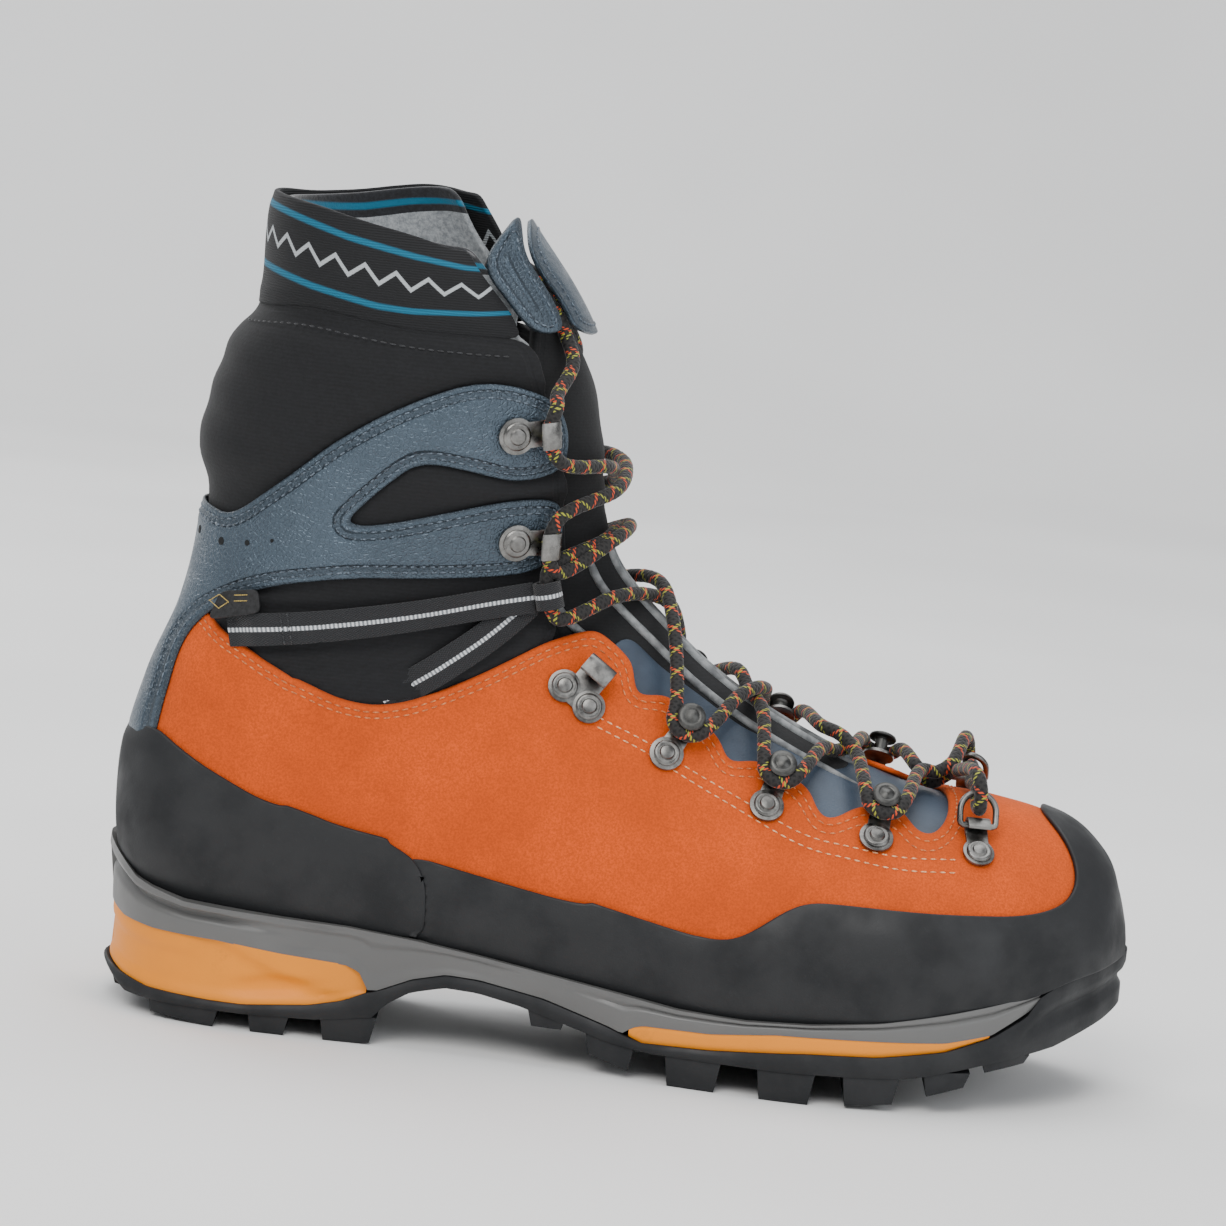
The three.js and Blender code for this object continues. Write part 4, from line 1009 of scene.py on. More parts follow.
# ---- regions of the upper ----
def suede_region(p, t, a):
    covered = 7 - np.minimum(within("rand", p), -within("sole", p) + 60)
    return np.minimum(np.minimum(within("suede", p, True), -within("sole", p) - 1), covered)


def rand_region(p, t, a):
    return np.minimum(within("rand", p), -within("sole", p) + 0.6)


def rand_front_region(p, t, a):
    return np.minimum(rand_region(p, t, a), p[..., 0] - RAND_SEAM + RAND_OVERLAP)


def rand_heel_region(p, t, a):
    return np.minimum(rand_region(p, t, a), RAND_SEAM - 0.2 - p[..., 0])


def underlay_region(p, t, a):
    return within("underlay", p, True)


def shaft_region(p, t, a):
    return np.minimum(within("shaft", p), 4 - within("suede", p, True))


def shaft_height(t, a):
    p = surface(t, a, 1.0)
    tucked = smoothstep(within("suede", p, True), -1.2, 0.6)
    under_wrap = smoothstep(within("wrap", p), -3.5, 0.5)
    x, z = p[..., 0], p[..., 2]
    puff = 2.4 * smoothstep(z, 160, 172) * smoothstep(-z, -216, -208) * (1 - under_wrap)
    puff += 1.3 * (1 - under_wrap) * smoothstep(-x, 60, 120) * smoothstep(z, 158, 176) * smoothstep(-z, -213,
                                                                                                    -200)
    fold = 0.3 * np.sin(z * 0.42 + x * 0.11 + 2 * np.sin(x * 0.05)) * smoothstep(z, 165,
                                                                                 180) * (1 - under_wrap)
    low_fold = 0.55 * np.sin((z - 0.12 * x) * 1.1) * smoothstep(-z, -142, -132) * (1 - tucked)
    return 1.0 + (puff + fold + low_fold) * smoothstep(-z, -218, -213) - 1.0 * tucked


def wrap_region(p, t, a):
    return within("wrap", p)


def wrap_height(t, a):
    p = surface(t, a, 3.8)
    inside = within("wrap", p)
    return 2.9 + 0.9 * smoothstep(inside, 0.5, 5.5)


def mouth(p):
    """Points with the collar's far front side let down: there the rim stands higher."""
    x, y, z = p[..., 0], p[..., 1], p[..., 2]
    rise = 14 * smoothstep(y, -14, 20) * smoothstep(x, -122, -68) * smoothstep(z, 214, 250)
    return np.stack([x, y, z - rise], -1)


def collar_region(p, t, a):
    return within("rim", mouth(p))


def collar_height(t, a):
    p = surface(t, a, 2.0)
    inside = collar_region(p, t, a)
    wave = 0.35 * np.sin(3 * a + 0.15 * p[..., 2])
    return 1.5 + 0.7 * smoothstep(inside, 0, 5) + wave * smoothstep(inside, 0, 8)


def tongue_region(p, t, a):
    return within("tongue", p)


def tongue_height(t, a):
    p = surface(t, a, -2.2)
    inside = within("tongue", p)
    away = np.abs(np.arctan2(np.sin(a), np.cos(a)))
    crown = 1.9 * smoothstep(0.9 - away, 0, 0.8) * smoothstep(inside, 0, 10)
    wave = 0.3 * np.sin(t * 4.2) * smoothstep(inside, 2, 12) * smoothstep(t, 13, 15)
    return -2.2 + crown + wave


def lining_region(p, t, a):
    outside = np.minimum(-within("opening", p), -within("rim_cut", mouth(p)))
    front = -51 - p[..., 0] + 80 * smoothstep(-p[..., 2], -212, -190)
    return np.minimum(np.minimum(outside, front), -within("sole", p) - 2.8)


def bulge(a):
    return 2.6 * smoothstep(0.95 - np.abs(np.arctan2(np.sin(a), np.cos(a))), 0, 0.5)


def strap_region(p, t, a):
    return np.minimum(within("strap", p), np.sin(a) * 50)


def tab_region(p, t, a):
    return within("tab", p)


def tag_region(p, t, a):
    return np.minimum(within("tag", p), np.sin(a) * 50)


def panel_piece(name, region, offset, low, high, material, slot, replaces=(), edge=0.8, body=BOOT, extra=None,
                **grid):
    """A panel of the upper as a closed wall, with its distance from the edge kept for its material."""
    panel = Panel(region, offset, clear=edge, **grid)
    points, faces = shell(panel, low, high, edge)
    obj = piece(name, points, faces, MATERIALS[material], body, replaces)
    place = coordinates(obj.data) / MM
    attribute_on(obj.data, "edge", region(place, 0, np.arctan2(-place[:, 1], 1)))
    if extra:
        for key, values in extra(place).items():
            attribute_on(obj.data, key, values)
    return obj


def stripe_heights(place):
    """Where a point of the collar lies between its lower line, 0, and its upper line, 1."""
    x, y, z = mouth(place).T
    upper, lower = (np.array(line) for line in (UPPER_STRIPE, LOWER_STRIPE))
    top, base = np.interp(x, upper[:, 0], upper[:, 1]), np.interp(x, lower[:, 0], lower[:, 1])
    along = np.abs(np.arctan2(y, x - COLLAR_MIDDLE)) * COLLAR_RADIUS
    return {"across": (z - base) / (top - base), "along": along}


# ---- seats of the fittings ----
def seat(side, root, toward, offset):
    """A frame on the boot: origin over a side-view point, Z out, X towards a second point."""
    (t,), (a,) = locate([root], side)
    up = outward(t, a)
    origin = surface(t, a, offset)
    (t1,), (a1,) = locate([toward], side)
    ahead = surface(t1, a1, offset) - origin
    ahead = unit(ahead - up * ahead.dot(up))
    return np.stack([ahead, np.cross(up, ahead), up, origin], axis=1)


def seated(matrix, points):
    return np.asarray(points, float) @ matrix[:, :3].T + matrix[:, 3]


def raised(pair, by):
    return [(x, z + max(0, by)) for x, z in pair]


PLATE = 1.0
HOOKS = (("upper_hook", (-47, 187.5), (-34, 190)), ("lower_hook", (-44, 155.5), (-31, 156.5)))
EYELETS = (((73.5, 76.5), (75, 85.5)), ((40, 82.8), (43.5, 93.3)), ((8.5, 95), (15.5, 106.3)))
LOCK_HOOK = ((-20, 109.5), (-13, 119))
D_RING = ((104.5, 74.5), (101.5, 84))
LOOP = ((-33.5, 139.5), (-28.5, 141))
HOOK_OFFSET, EYELET_OFFSET = 4.3, 2.3
EYELET_RISE, RING_RISE = 9, 6.3
HOOK_STEM, ROLLER_POST, RING_BAR, RING_TILT = 13, 12, 8.6, 0.5


class Build:
    """Loose parts of one fitting, joined in its own frame before they are seated."""

    def __init__(self):
        self.points, self.faces = [], []

    def add(self, points, faces):
        start = len(self.points)
        self.points += [tuple(p) for p in points]
        self.faces += [tuple(k + start for k in f) for f in faces]
        return self

    def prism(self, outline, z0, z1, bevel=0.25):
        """A plan outline between two heights, its rims rounded."""
        edit = bmesh.new()
        base = [edit.verts.new((x, y, z0)) for x, y in outline]
        face = edit.faces.new(base)
        out = bmesh.ops.extrude_face_region(edit, geom=[face])
        bmesh.ops.translate(edit, vec=(0, 0, z1 - z0),
                            verts=[v for v in out["geom"] if isinstance(v, bmesh.types.BMVert)])
        return self.take(edit, bevel)

    def take(self, edit, bevel, segments=2):
        bmesh.ops.recalc_face_normals(edit, faces=edit.faces)
        if bevel:
            rims = [e for e in edit.edges if e.is_manifold and e.calc_face_angle(0) > 0.6]
            bmesh.ops.bevel(edit, geom=rims, offset=bevel, segments=segments, profile=0.6, affect="EDGES",
                            clamp_overlap=True)
        edit.verts.index_update()
        self.add([tuple(v.co) for v in edit.verts], [tuple(v.index for v in f.verts) for f in edit.faces])
        edit.free()
        return self

    def swept(self, profile, width, bevel=0.25):
        """A side profile (x, z) carried across a width."""
        edit = bmesh.new()
        base = [edit.verts.new((x, -width / 2, z)) for x, z in profile]
        face = edit.faces.new(base)
        out = bmesh.ops.extrude_face_region(edit, geom=[face])
        bmesh.ops.translate(edit, vec=(0, width, 0),
                            verts=[v for v in out["geom"] if isinstance(v, bmesh.types.BMVert)])
        return self.take(edit, bevel)

    def turned(self, profile, x=0.0, y=0.0, sides=28):
        """A profile (radius, height) turned round an upright axis; it starts and ends on the axis."""
        points, faces = [], []
        n = len(profile)
        for k in range(sides):
            angle = 2 * math.pi * k / sides
            points += [(x + r * math.cos(angle), y + r * math.sin(angle), z) for r, z in profile]
        for k in range(sides):
            m = (k + 1) % sides
            faces += [(k * n + i, m * n + i, m * n + i + 1, k * n + i + 1) for i in range(n - 1)]
        return self.add(points, faces)

    def tube(self, path, radius, sides=12, closed=False):
        path = np.asarray(path, float)
        points, faces = tube_mesh(path, radius, sides, closed)
        return self.add(points, faces)


def tube_mesh(path, radius, sides, closed=False, ends=True):
    """A tube along a path with frames carried without twist."""
    path = np.asarray(path, float)
    n = len(path)
    if closed:
        tangent = unit(np.roll(path, -1, 0) - np.roll(path, 1, 0))
    else:
        tangent = unit(np.gradient(path, axis=0))
    normal = np.zeros_like(path)
    start = np.cross(tangent[0], [0, 0, 1.0])
    if np.linalg.norm(start) < 0.1:
        start = np.cross(tangent[0], [0, 1.0, 0])
    normal[0] = unit(start)
    for k in range(1, n):
        v = normal[k - 1] - tangent[k] * normal[k - 1].dot(tangent[k])
        normal[k] = unit(v)
    across = np.cross(tangent, normal)
    angle = 2 * math.pi * np.arange(sides) / sides
    radius = np.broadcast_to(np.asarray(radius, float), (n,))
    ring = np.cos(angle)[None, :, None] * normal[:, None] + np.sin(angle)[None, :, None] * across[:, None]
    points = (path[:, None] + ring * radius[:, None, None]).reshape(-1, 3)
    faces = []
    for k in range(n if closed else n - 1):
        m = (k + 1) % n
        faces += [(k * sides + i, k * sides + (i + 1) % sides, m * sides + (i + 1) % sides, m * sides + i)
                  for i in range(sides)]
    if not closed and ends:
        faces += [tuple(reversed(range(sides))), tuple(range((n - 1) * sides, n * sides))]
    return points, faces


def circle(radius, sides=32, x=0.0, y=0.0):
    angle = 2 * math.pi * np.arange(sides) / sides
    return [(x + radius * math.cos(k), y + radius * math.sin(k)) for k in angle]


def teardrop(radius, stem, half, sides=24):
    """A round pad running into a straight tongue of a half width."""
    start = math.asin(min(0.99, half / radius))
    angles = np.linspace(start, 2 * math.pi - start, sides)
    pad = [(radius * math.cos(a), radius * math.sin(a)) for a in angles]
    return [*pad, (stem, -half), (stem, half)]


def curl_profile(rear, stem, height, lip, thick=PLATE):
    """A plate whose end turns up and back, seen from its edge."""
    radius = height / 2 + thick
    centre = (stem - radius, radius)
    outer = [(centre[0] + radius * math.sin(a),
              centre[1] - radius * math.cos(a)) for a in np.linspace(0, math.pi, 11)]
    inner = [(centre[0] + (radius - thick) * math.sin(a), centre[1] - (radius - thick) * math.cos(a))
             for a in np.linspace(math.pi, 0, 11)]
    return [(rear, 0), *outer, (lip, 2 * radius + 0.25), (lip - 0.5, 2 * radius - thick * 0.5),
            (lip, 2 * radius - thick + 0.1),
            *inner, (rear, thick)]


def rivet_profile(radius, base=PLATE, height=1.7):
    """A domed rivet head with a ring round its sunk middle."""
    r = radius
    return [(0, base - 0.3), (r * 0.96, base - 0.3), (r, base + 0.15), (r, base + 0.45),
            (r * 0.92, base + 0.85),
            (r * 0.8, base + 1.0), (r * 0.68, base + 0.86), (r * 0.6, base + 0.9),
            (r * 0.5, base + height - 0.25),
            (r * 0.3, base + height - 0.06), (0, base + height)]


def fitting(name, build, matrix, material, body=BOOT, replaces=(), sharp=38):
    return piece(name, seated(matrix, build.points), build.faces, MATERIALS[material], body, replaces,
                 sharp)


# ---- sole unit ----
def plan_chains():
    outline = rounded(SOLE_PLAN, 14, 8)
    rear, front = int(np.argmin(outline[:, 0])), int(np.argmax(outline[:, 0]))
    turned = np.roll(outline, -rear, axis=0)
    split = (front - rear) % len(outline)
    return turned[:split + 1], np.vstack([turned[split:], turned[:1]])[::-1]


OUTER_CHAIN, INNER_CHAIN = plan_chains()


def plan_y(x, chain):
    return np.interp(x, chain[:, 0], chain[:, 1])


def line_at(line, x):
    line = np.asarray(line, float)
    return np.interp(x, line[:, 0], line[:, 1])


def slab(x0, x1, top, base, inset=0.0, swell=lambda x, v: 0 * v, rows=10, across=8, count=170):
    """A moulded layer of the sole: its plan outline, heights top(x) and base(x), and a shaped side wall."""
    low, high = OUTER_CHAIN[0, 0], OUTER_CHAIN[-1, 0]
    spread = low + (high - low) * (1 - np.cos(np.linspace(0, math.pi, count))) / 2
    x0, x1 = max(x0, low), min(x1, high)
    xs = np.concatenate([[x0], spread[(spread > x0 + 0.2) & (spread < x1 - 0.2)], [x1]])
    v = np.linspace(0, 1, rows)
    walls = []
    for chain, hand in ((OUTER_CHAIN, 1), (INNER_CHAIN, -1)):
        y = plan_y(xs, chain)
        dx, dy = np.gradient(xs), np.gradient(y)
        if x0 <= low + 0.01:
            dx[0], dy[0] = 0.0, -hand * 1.0
        if x1 >= high - 0.01:
            dx[-1], dy[-1] = 0.0, hand * 1.0
        size = np.hypot(dx, dy)
        nx, ny = hand * dy / size, -hand * dx / size
        push = swell(xs[:, None], v[None]) - inset
        px = xs[:, None] + nx[:, None] * push
        py = y[:, None] + ny[:, None] * push
        pz = base(xs)[:, None] + (top(xs) - base(xs))[:, None] * v[None]
        walls.append(np.stack([px, py, pz], -1))
    outer, inner = walls
    share = np.linspace(0, 1, across + 2)[1:-1][None, :, None]
    lid = outer[:, -1:] * (1 - share) + inner[:, -1:] * share
    floor = inner[:, :1] * (1 - share) + outer[:, :1] * share
    ring = np.concatenate([outer, lid, inner[:, ::-1], floor], axis=1)
    n, m = ring.shape[:2]
    faces = [(i * m + j, (i + 1) * m + j, (i + 1) * m + (j + 1) % m, i * m + (j + 1) % m)
             for i in range(n - 1) for j in range(m)]
    faces += [tuple(range(m)), tuple(range((n - 1) * m, n * m))[::-1]]
    return ring.reshape(-1, 3), faces


def lug_block(x0, z0, x1, z1, root, near, far, slices=5, flare=1.6):
    """One tread lug between two sideways edges, wider at its root."""
    points = []
    for s in np.linspace(0, 1, slices):
        wide, narrow = (x0 - flare) + (x1 - x0 + 2 * flare) * s, x0 + (x1 - x0) * s
        z = z0 + (z1 - z0) * s
        a, b = near(wide), far(wide)
        c, d = near(narrow), far(narrow)
        inward = np.sign(b - a)
        points += [(wide, a, root + 1.5), (narrow, c + inward * 0.5, z), (narrow, d - inward * 1.0, z),
                   (wide, b, root + 1.5)]
    faces = [(k * 4 + i, k * 4 + (i + 1) % 4, (k + 1) * 4 + (i + 1) % 4, (k + 1) * 4 + i)
             for k in range(slices - 1) for i in range(4)]
    faces += [(0, 1, 2, 3), tuple(range(4 * slices - 4, 4 * slices))[::-1]]
    return points, faces


def outsole_top(x):
    line = [(-158, 14), *HEEL_INSERT_BASE[1:], *ARCH_TOP, *TOE_INSERT_BASE[1:], *TOE_BUMPER]
    return line_at(line, x) - 0.3


def outsole_base(x):
    line = [(-158, 13.5), (-152, 8.5), (-147, 5.5), (-138, 5.2), (-110, 5.2), (-88, 6), (-71, 8.5),
            (-67, 13.2), (-60, 17.6),
            (-50, 20.2), (-40, 19.9), (-27, 17.6), (-10, 13.2), (0, 10.6), (12, 9), (50, 9), (70, 9.6),
            (90, 10.6), (110, 15),
            (134, 20), (150, 26), (158, 30)]
    return np.minimum(line_at(line, x), outsole_top(x) - 0.9)


def outsole_swell(x, v):
    toe = smoothstep(x, 118, 134)
    groove = -1.8 * np.exp(-((v - 0.5) / 0.1) ** 2) * toe
    return 0.7 * np.sin(math.pi * np.clip(v, 0, 1)) * (1 - toe) + groove + 0.8 * toe * smoothstep(v, 0.6,
                                                                                                  0.75)


def make_outsole():
    build = Build()
    build.add(*slab(-158, 158, outsole_top, outsole_base, 0.0, outsole_swell))
    edge_outer = lambda x: plan_y(x, OUTER_CHAIN) + 0.4
    edge_inner = lambda x: plan_y(x, INNER_CHAIN) - 0.4
    for i, (x0, z0, x1, z1) in enumerate(LUGS):
        root = LUG_ROOTS[i]
        near, far = (-8.5, 8.5) if x1 < -60 else (-7.5, 12.5)
        build.add(*lug_block(x0, z0, x1, z1, root, edge_outer, lambda x: near))
        shift = 3 if -60 < x0 < 100 else 0
        build.add(*lug_block(x0 + shift, z0, x1 + shift, z1, root, edge_inner, lambda x: far))
        if x1 < 100 and i + 1 < len(LUGS) and x0 > -140:
            x2 = x1 + (LUGS[i + 1][0] - x1) * 0.5
            z = (z1 + LUGS[i + 1][1]) / 2 + 1.0
            if not -71 <= x1 < -10:
                build.add(*lug_block(x2 - 5, z, x2 + 5, z, max(root, 8), lambda x: near + 3.5,
                                     lambda x: far - 3.5, 3))
    build.add(*lug_block(-151, 5.5, -143, 3.5, 9, lambda x: -15, lambda x: 15, 3))
    build.add(*lug_block(132, 18, 142, 22, 22, lambda x: -16, lambda x: 20, 3))
    obj = piece("outsole_tread", build.points, build.faces, MATERIALS["rubber"], BOOT, ["outsole"])
    bevel = obj.modifiers.new("Rims", "BEVEL")
    bevel.width, bevel.segments, bevel.limit_method, bevel.angle_limit = 0.7 * MM, 2, "ANGLE", math.radians(35)
    apply_modifiers(obj)
    obj.data.set_sharp_from_angle(angle=math.radians(50))


def make_cushions():
    def heel_swell(x, v):
        sweep = v - 0.95 + (x + 118) / 46
        facet = 1.5 * smoothstep(sweep, -0.12, 0.16) * smoothstep(-x, 74, 84)
        lens = -1.3 * np.exp(-(((x + 101) / 13) ** 2 + ((v - 0.36 - (x + 101) * 0.006) / 0.17) ** 2) ** 2)
        rear = 0.9 * smoothstep(-x, 122, 132) * smoothstep(v, 0.62, 0.78)
        low = 0.8 * smoothstep(-v, -0.22, -0.08)
        return facet + lens + rear + low - 0.4

    def toe_swell(x, v):
        return 0.6 * np.sin(math.pi * np.clip(v, 0, 1)) + 0.4 * smoothstep(v, 0.6, 0.8)

    points, faces = slab(-158, -73.4, lambda x: line_at(HEEL_INSERT_TOP, x) + 0.2,
                         lambda x: line_at(HEEL_INSERT_BASE, x) - 0.4, 1.4, heel_swell, rows=16, count=240)
    piece("heel_cushion", points, faces, MATERIALS["cushion"], BOOT, ["heel_midsole_insert"], 40)
    points, faces = slab(6, 113.5, lambda x: line_at(TOE_INSERT_TOP, x) + 0.2,
                         lambda x: line_at(TOE_INSERT_BASE, x) - 0.4, 1.2, toe_swell, rows=8)
    piece("forefoot_cushion", points, faces, MATERIALS["cushion"], BOOT,
          ["forefoot_midsole_insert"], 40)


def frame_swell(x, v):
    heel = smoothstep(-x, 96, 122)
    lip = 2.0 * smoothstep(v, 0.74, 0.84) - 1.5 * np.exp(-((v - 0.62) / 0.09) ** 2)
    waist = smoothstep(x, -112, -88) * smoothstep(-x, 18, 48)
    panel = -0.9 * smoothstep(v, 0, 0.35) * smoothstep(-v, -0.84, -0.72)
    line = -0.9 * np.exp(-((v - 0.72) / 0.07) ** 2) * smoothstep(x, -20, 10)
    return lip * heel + panel * waist + line + 0.4 * np.sin(math.pi * np.clip(v, 0, 1))


def make_frame():
    base = [*HEEL_INSERT_TOP, *ARCH_TOP, *TOE_INSERT_TOP, (123.5, 30.5), (128, 33.6)]
    points, faces = slab(-158, 128, lambda x: line_at(SOLE_TOP, x) + 0.3,
                         lambda x: np.minimum(line_at(base, x), line_at(SOLE_TOP, x) - 0.4), 0.4, frame_swell,
                         rows=22, count=300)
    piece("midsole_side_frame", points, faces, MATERIALS["sole_frame"], BOOT, ["midsole_frame"],
          40)


def make_inside():
    points, faces = slab(-150, 150, lambda x: line_at(SOLE_TOP, x) + 6.6,
                         lambda x: line_at(SOLE_TOP, x) + 3.0, 9.5,
                         rows=4, across=16)
    points[:, 2] += 3.0 * smoothstep(np.abs(points[:, 1]), 14, 30) * smoothstep(-points[:, 0], -20, 100)
    obj = piece("footbed_pad", points, faces, MATERIALS["footbed"], BOOT, ["footbed"], 50)
    for name, key in (("steel_shank", "steel"), ("lasting_board", "board"), ("toe_puff", "board"),
                      ("heel_counter", "board")):
        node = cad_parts[name]
        for spot in node.material_slots:
            spot.material = MATERIALS[key]
    obj = panel_piece("lining_bootie", lining_region, -4.6, -4.6, -2.4, "lining", "lining", ["inner_bootie"],
                      extra=stripe_heights, rows=200, columns=110)


# ---- panels of the upper ----
FILL_FRAMES = 14


def inflate(obj, pressure, cap, hold=2.5):
    """Fills a padded panel with air by cloth simulation, its sewn edge held."""
    mesh = obj.data
    count = len(mesh.vertices)
    rest = coordinates(mesh)
    held = np.empty(count, np.float32)
    mesh.attributes["edge"].data.foreach_get("value", held)
    group = obj.vertex_groups.new(name="sewn")
    for index in np.nonzero(held < hold)[0]:
        group.add([int(index)], 1.0, "REPLACE")
    cloth = obj.modifiers.new("Fill", "CLOTH")
    settings = cloth.settings
    settings.quality = 4
    settings.mass = 0.2
    settings.use_pressure = True
    settings.uniform_pressure_force = pressure
    settings.tension_stiffness = settings.compression_stiffness = 12
    settings.bending_stiffness = 0.6
    settings.vertex_group_mass = "sewn"
    settings.effector_weights.gravity = 0
    scene = bpy.context.scene
    for number in range(1, FILL_FRAMES + 1):
        scene.frame_set(number)
    apply_modifiers(obj)
    scene.frame_set(1)
    shift = coordinates(obj.data) - rest
    size = np.linalg.norm(shift, axis=1, keepdims=True)
    limit = cap * MM
    shift = np.where(np.isfinite(shift), shift, 0) * np.where(size > limit, limit / np.maximum(size, 1e-9), 1)
    obj.data.vertices.foreach_set("co", (rest + shift).astype(np.float32).ravel())
    obj.vertex_groups.clear()
    obj.data.update()
    return obj


def make_suede():
    panel_piece("suede_vamp", suede_region, 1.8, 0.0, 1.8, "suede", "suede", ["suede_upper"], 0.8, rows=330,
                columns=170)
    panel_piece("eyestay_film", underlay_region, -0.4, -1.7, -0.2, "underlay", "underlay",
                ["eyestay_underlay"], 0.5,
                rows=300, columns=150)


def make_rands():
    def height(t, a):
        p = surface(t, a, 4.4)
        top = smoothstep(within("rand", p), 0.3, 7)
        under = 0.9 * smoothstep(RAND_SEAM + 0.4 - p[..., 0], 0, 0.8) * (name == "front_rand")
        return 3.4 + 1.0 * top - under

    for name, region, node in (("front_rand", rand_front_region, "rand_front"),
                               ("heel_rand", rand_heel_region, "rand_heel")):
        panel_piece(name, region, 4.2, 2.1, height, "rubber", "rubber", [node], 0.7, rows=330, columns=190,
                    smoothing=14)


def make_shaft():
    obj = panel_piece("softshell_shaft", shaft_region, 1.0, -0.8, shaft_height, "softshell", "softshell",
                      ["shaft_softshell"], 0.6, rows=260, columns=120)
    inflate(obj, 1.2, 1.4)


def make_wrap():
    panel_piece("ankle_support_wrap", wrap_region, 3.8, 2.1, wrap_height, "wrap", "wrap", ["ankle_wrap"], 0.6,
                rows=330, columns=160)


def make_collar():
    obj = panel_piece("elastic_collar", collar_region, 1.8, -0.2, collar_height, "collar", "softshell",
                      ["collar_band"],
                      0.7, extra=stripe_heights, rows=300, columns=140, t_from=16)
    inflate(obj, 1.0, 1.0)


def make_tongue():
    obj = panel_piece("padded_tongue", tongue_region, -2.2, -5.0, tongue_height, "tongue", "softshell",
                      ["tongue"], 0.8,
                      rows=260, columns=140)
    inflate(obj, 1.0, 0.9)
    panel_piece("tongue_lining", lambda p, t, a: np.minimum(tongue_region(p, t, a) - 0.5, p[..., 2] - 196),
                -5.4, -6.3, -5.1,
                "lining", "lining", edge=0.5, extra=lambda place: {"across": 0 * place[:, 0]}, rows=200,
                columns=120, t_from=16)
    build = Build()
    for angle in (-0.62, -0.36, -0.12, 0.12, 0.36, 0.62):
        t = np.linspace(6.2, 13.2, 70)
        a = np.full(t.shape, angle)
        swell = np.minimum(1, np.minimum(t - 6.1, 13.3 - t) * 1.6)
        path = surface(t, a, tongue_height(t, a) + 0.1)
        build.tube(path, 1.35 * np.clip(swell, 0.15, 1) ** 0.6, 10)
    piece("tongue_ribs", build.points, build.faces, MATERIALS["tongue_rib"], BOOT)


def make_strap():
    high = lambda t, a: 3.7 + bulge(a)
    low = lambda t, a: 2.1 + bulge(a)
    for name, region, node, body in (("closing_strap", strap_region, "collar_strap", "collar_strap"),
                                     ("front_tab", tab_region, "tongue_tab", BOOT)):
        panel_piece(name, region, 4.5, low, high, "wrap", "wrap", [node], 0.5, body, rows=220, columns=260,
                    t_from=17.5)


# ---- fittings ----
def make_hooks(label, side):
    for name, root, toward in HOOKS:
        matrix = seat(side, root, toward, HOOK_OFFSET)
        plate = Build()
        plate.prism(teardrop(5.6, 9.5, 3.9), 0, PLATE, 0.22)
        plate.swept(curl_profile(7.5, HOOK_STEM, 4.4, 6.6), 8.2, 0.22)
        for y in (-1.6, 1.6):
            plate.swept([(x, z + 0.42) for x, z in curl_profile(8.2, HOOK_STEM + 0.3, 4.4, 8.6, 0.5)], 0.9,
                        0.15)
        fitting(f"{name}_plate_{label}", plate, matrix, "steel", replaces=[f"{name}_{label}"])
        head = Build().turned(rivet_profile(4.3))
        fitting(f"{name}_rivet_head_{label}", head, matrix, "steel", replaces=[f"{name}_{label}_rivet"])


def make_lock_hook(label, side):
    matrix = seat(side, *LOCK_HOOK, EYELET_OFFSET)
    plate = Build()
    for y in (-4.8, 4.8):
        plate.prism(circle(5.0, 28, 0, y), 0, PLATE, 0.22)
    plate.prism([(-3.4, -4.8), (8.5, -4.6), (8.5, 4.6), (-3.4, 4.8)], 0.02, PLATE - 0.02, 0.2)
    plate.swept(curl_profile(7, HOOK_STEM, 4.4, 6.6), 9.4, 0.22)
    fitting(f"lock_hook_plate_{label}", plate, matrix, "steel", replaces=[f"lock_hook_{label}"])
    for number, y in ((1, -4.8), (2, 4.8)):
        head = Build().turned(rivet_profile(4.0), 0, y)
        fitting(f"lock_hook_head_{number}_{label}", head, matrix, "steel",
                replaces=[f"lock_hook_{label}_rivet_{number}"])


def make_eyelets(label, side):
    for number, pair in enumerate(EYELETS, 1):
        matrix = seat(side, *raised(pair, side * EYELET_RISE), EYELET_OFFSET)
        plate = Build()
        plate.prism(circle(5.2), 0, PLATE, 0.22)
        plate.prism([(1, -3.6), (ROLLER_POST - 1, -3.1), (ROLLER_POST - 1, 3.1), (1, 3.6)], 0.02,
                    PLATE - 0.02, 0.2)
        plate.prism(circle(4.9, 32, ROLLER_POST), 0, PLATE + 0.05, 0.22)
        plate.turned([(0, 0.4), (1.2, 0.4), (1.2, PLATE + 4.9), (0, PLATE + 4.9)], ROLLER_POST, 0, 16)
        plate.turned(rivet_profile(4.0, PLATE, 1.9))
        fitting(f"eyelet_plate_{number}_{label}", plate, matrix, "steel",
                replaces=[f"eyelet_{number}_{label}"])
        roller = Build().turned(
            [(0, 5.7), (1.35, 5.7), (1.35, 0.35), (2.05, 0.35), (2.05, 4.6), (2.5, 5.05), (4.2, 5.25),
             (4.35, 5.6),
             (4.1, 6.1), (3.4, 6.45), (2.6, 6.5), (2.2, 6.3), (1.7, 6.55), (0.9, 6.95), (0, 7.05)],
            ROLLER_POST, 0)
        roller.points = [(x, y, z + PLATE + 0.05) for x, y, z in roller.points]
        name = f"eyelet_{number}_{label}_roller"
        fitting(f"roller_{number}_{label}", roller, matrix, "dark_steel", name, [name])


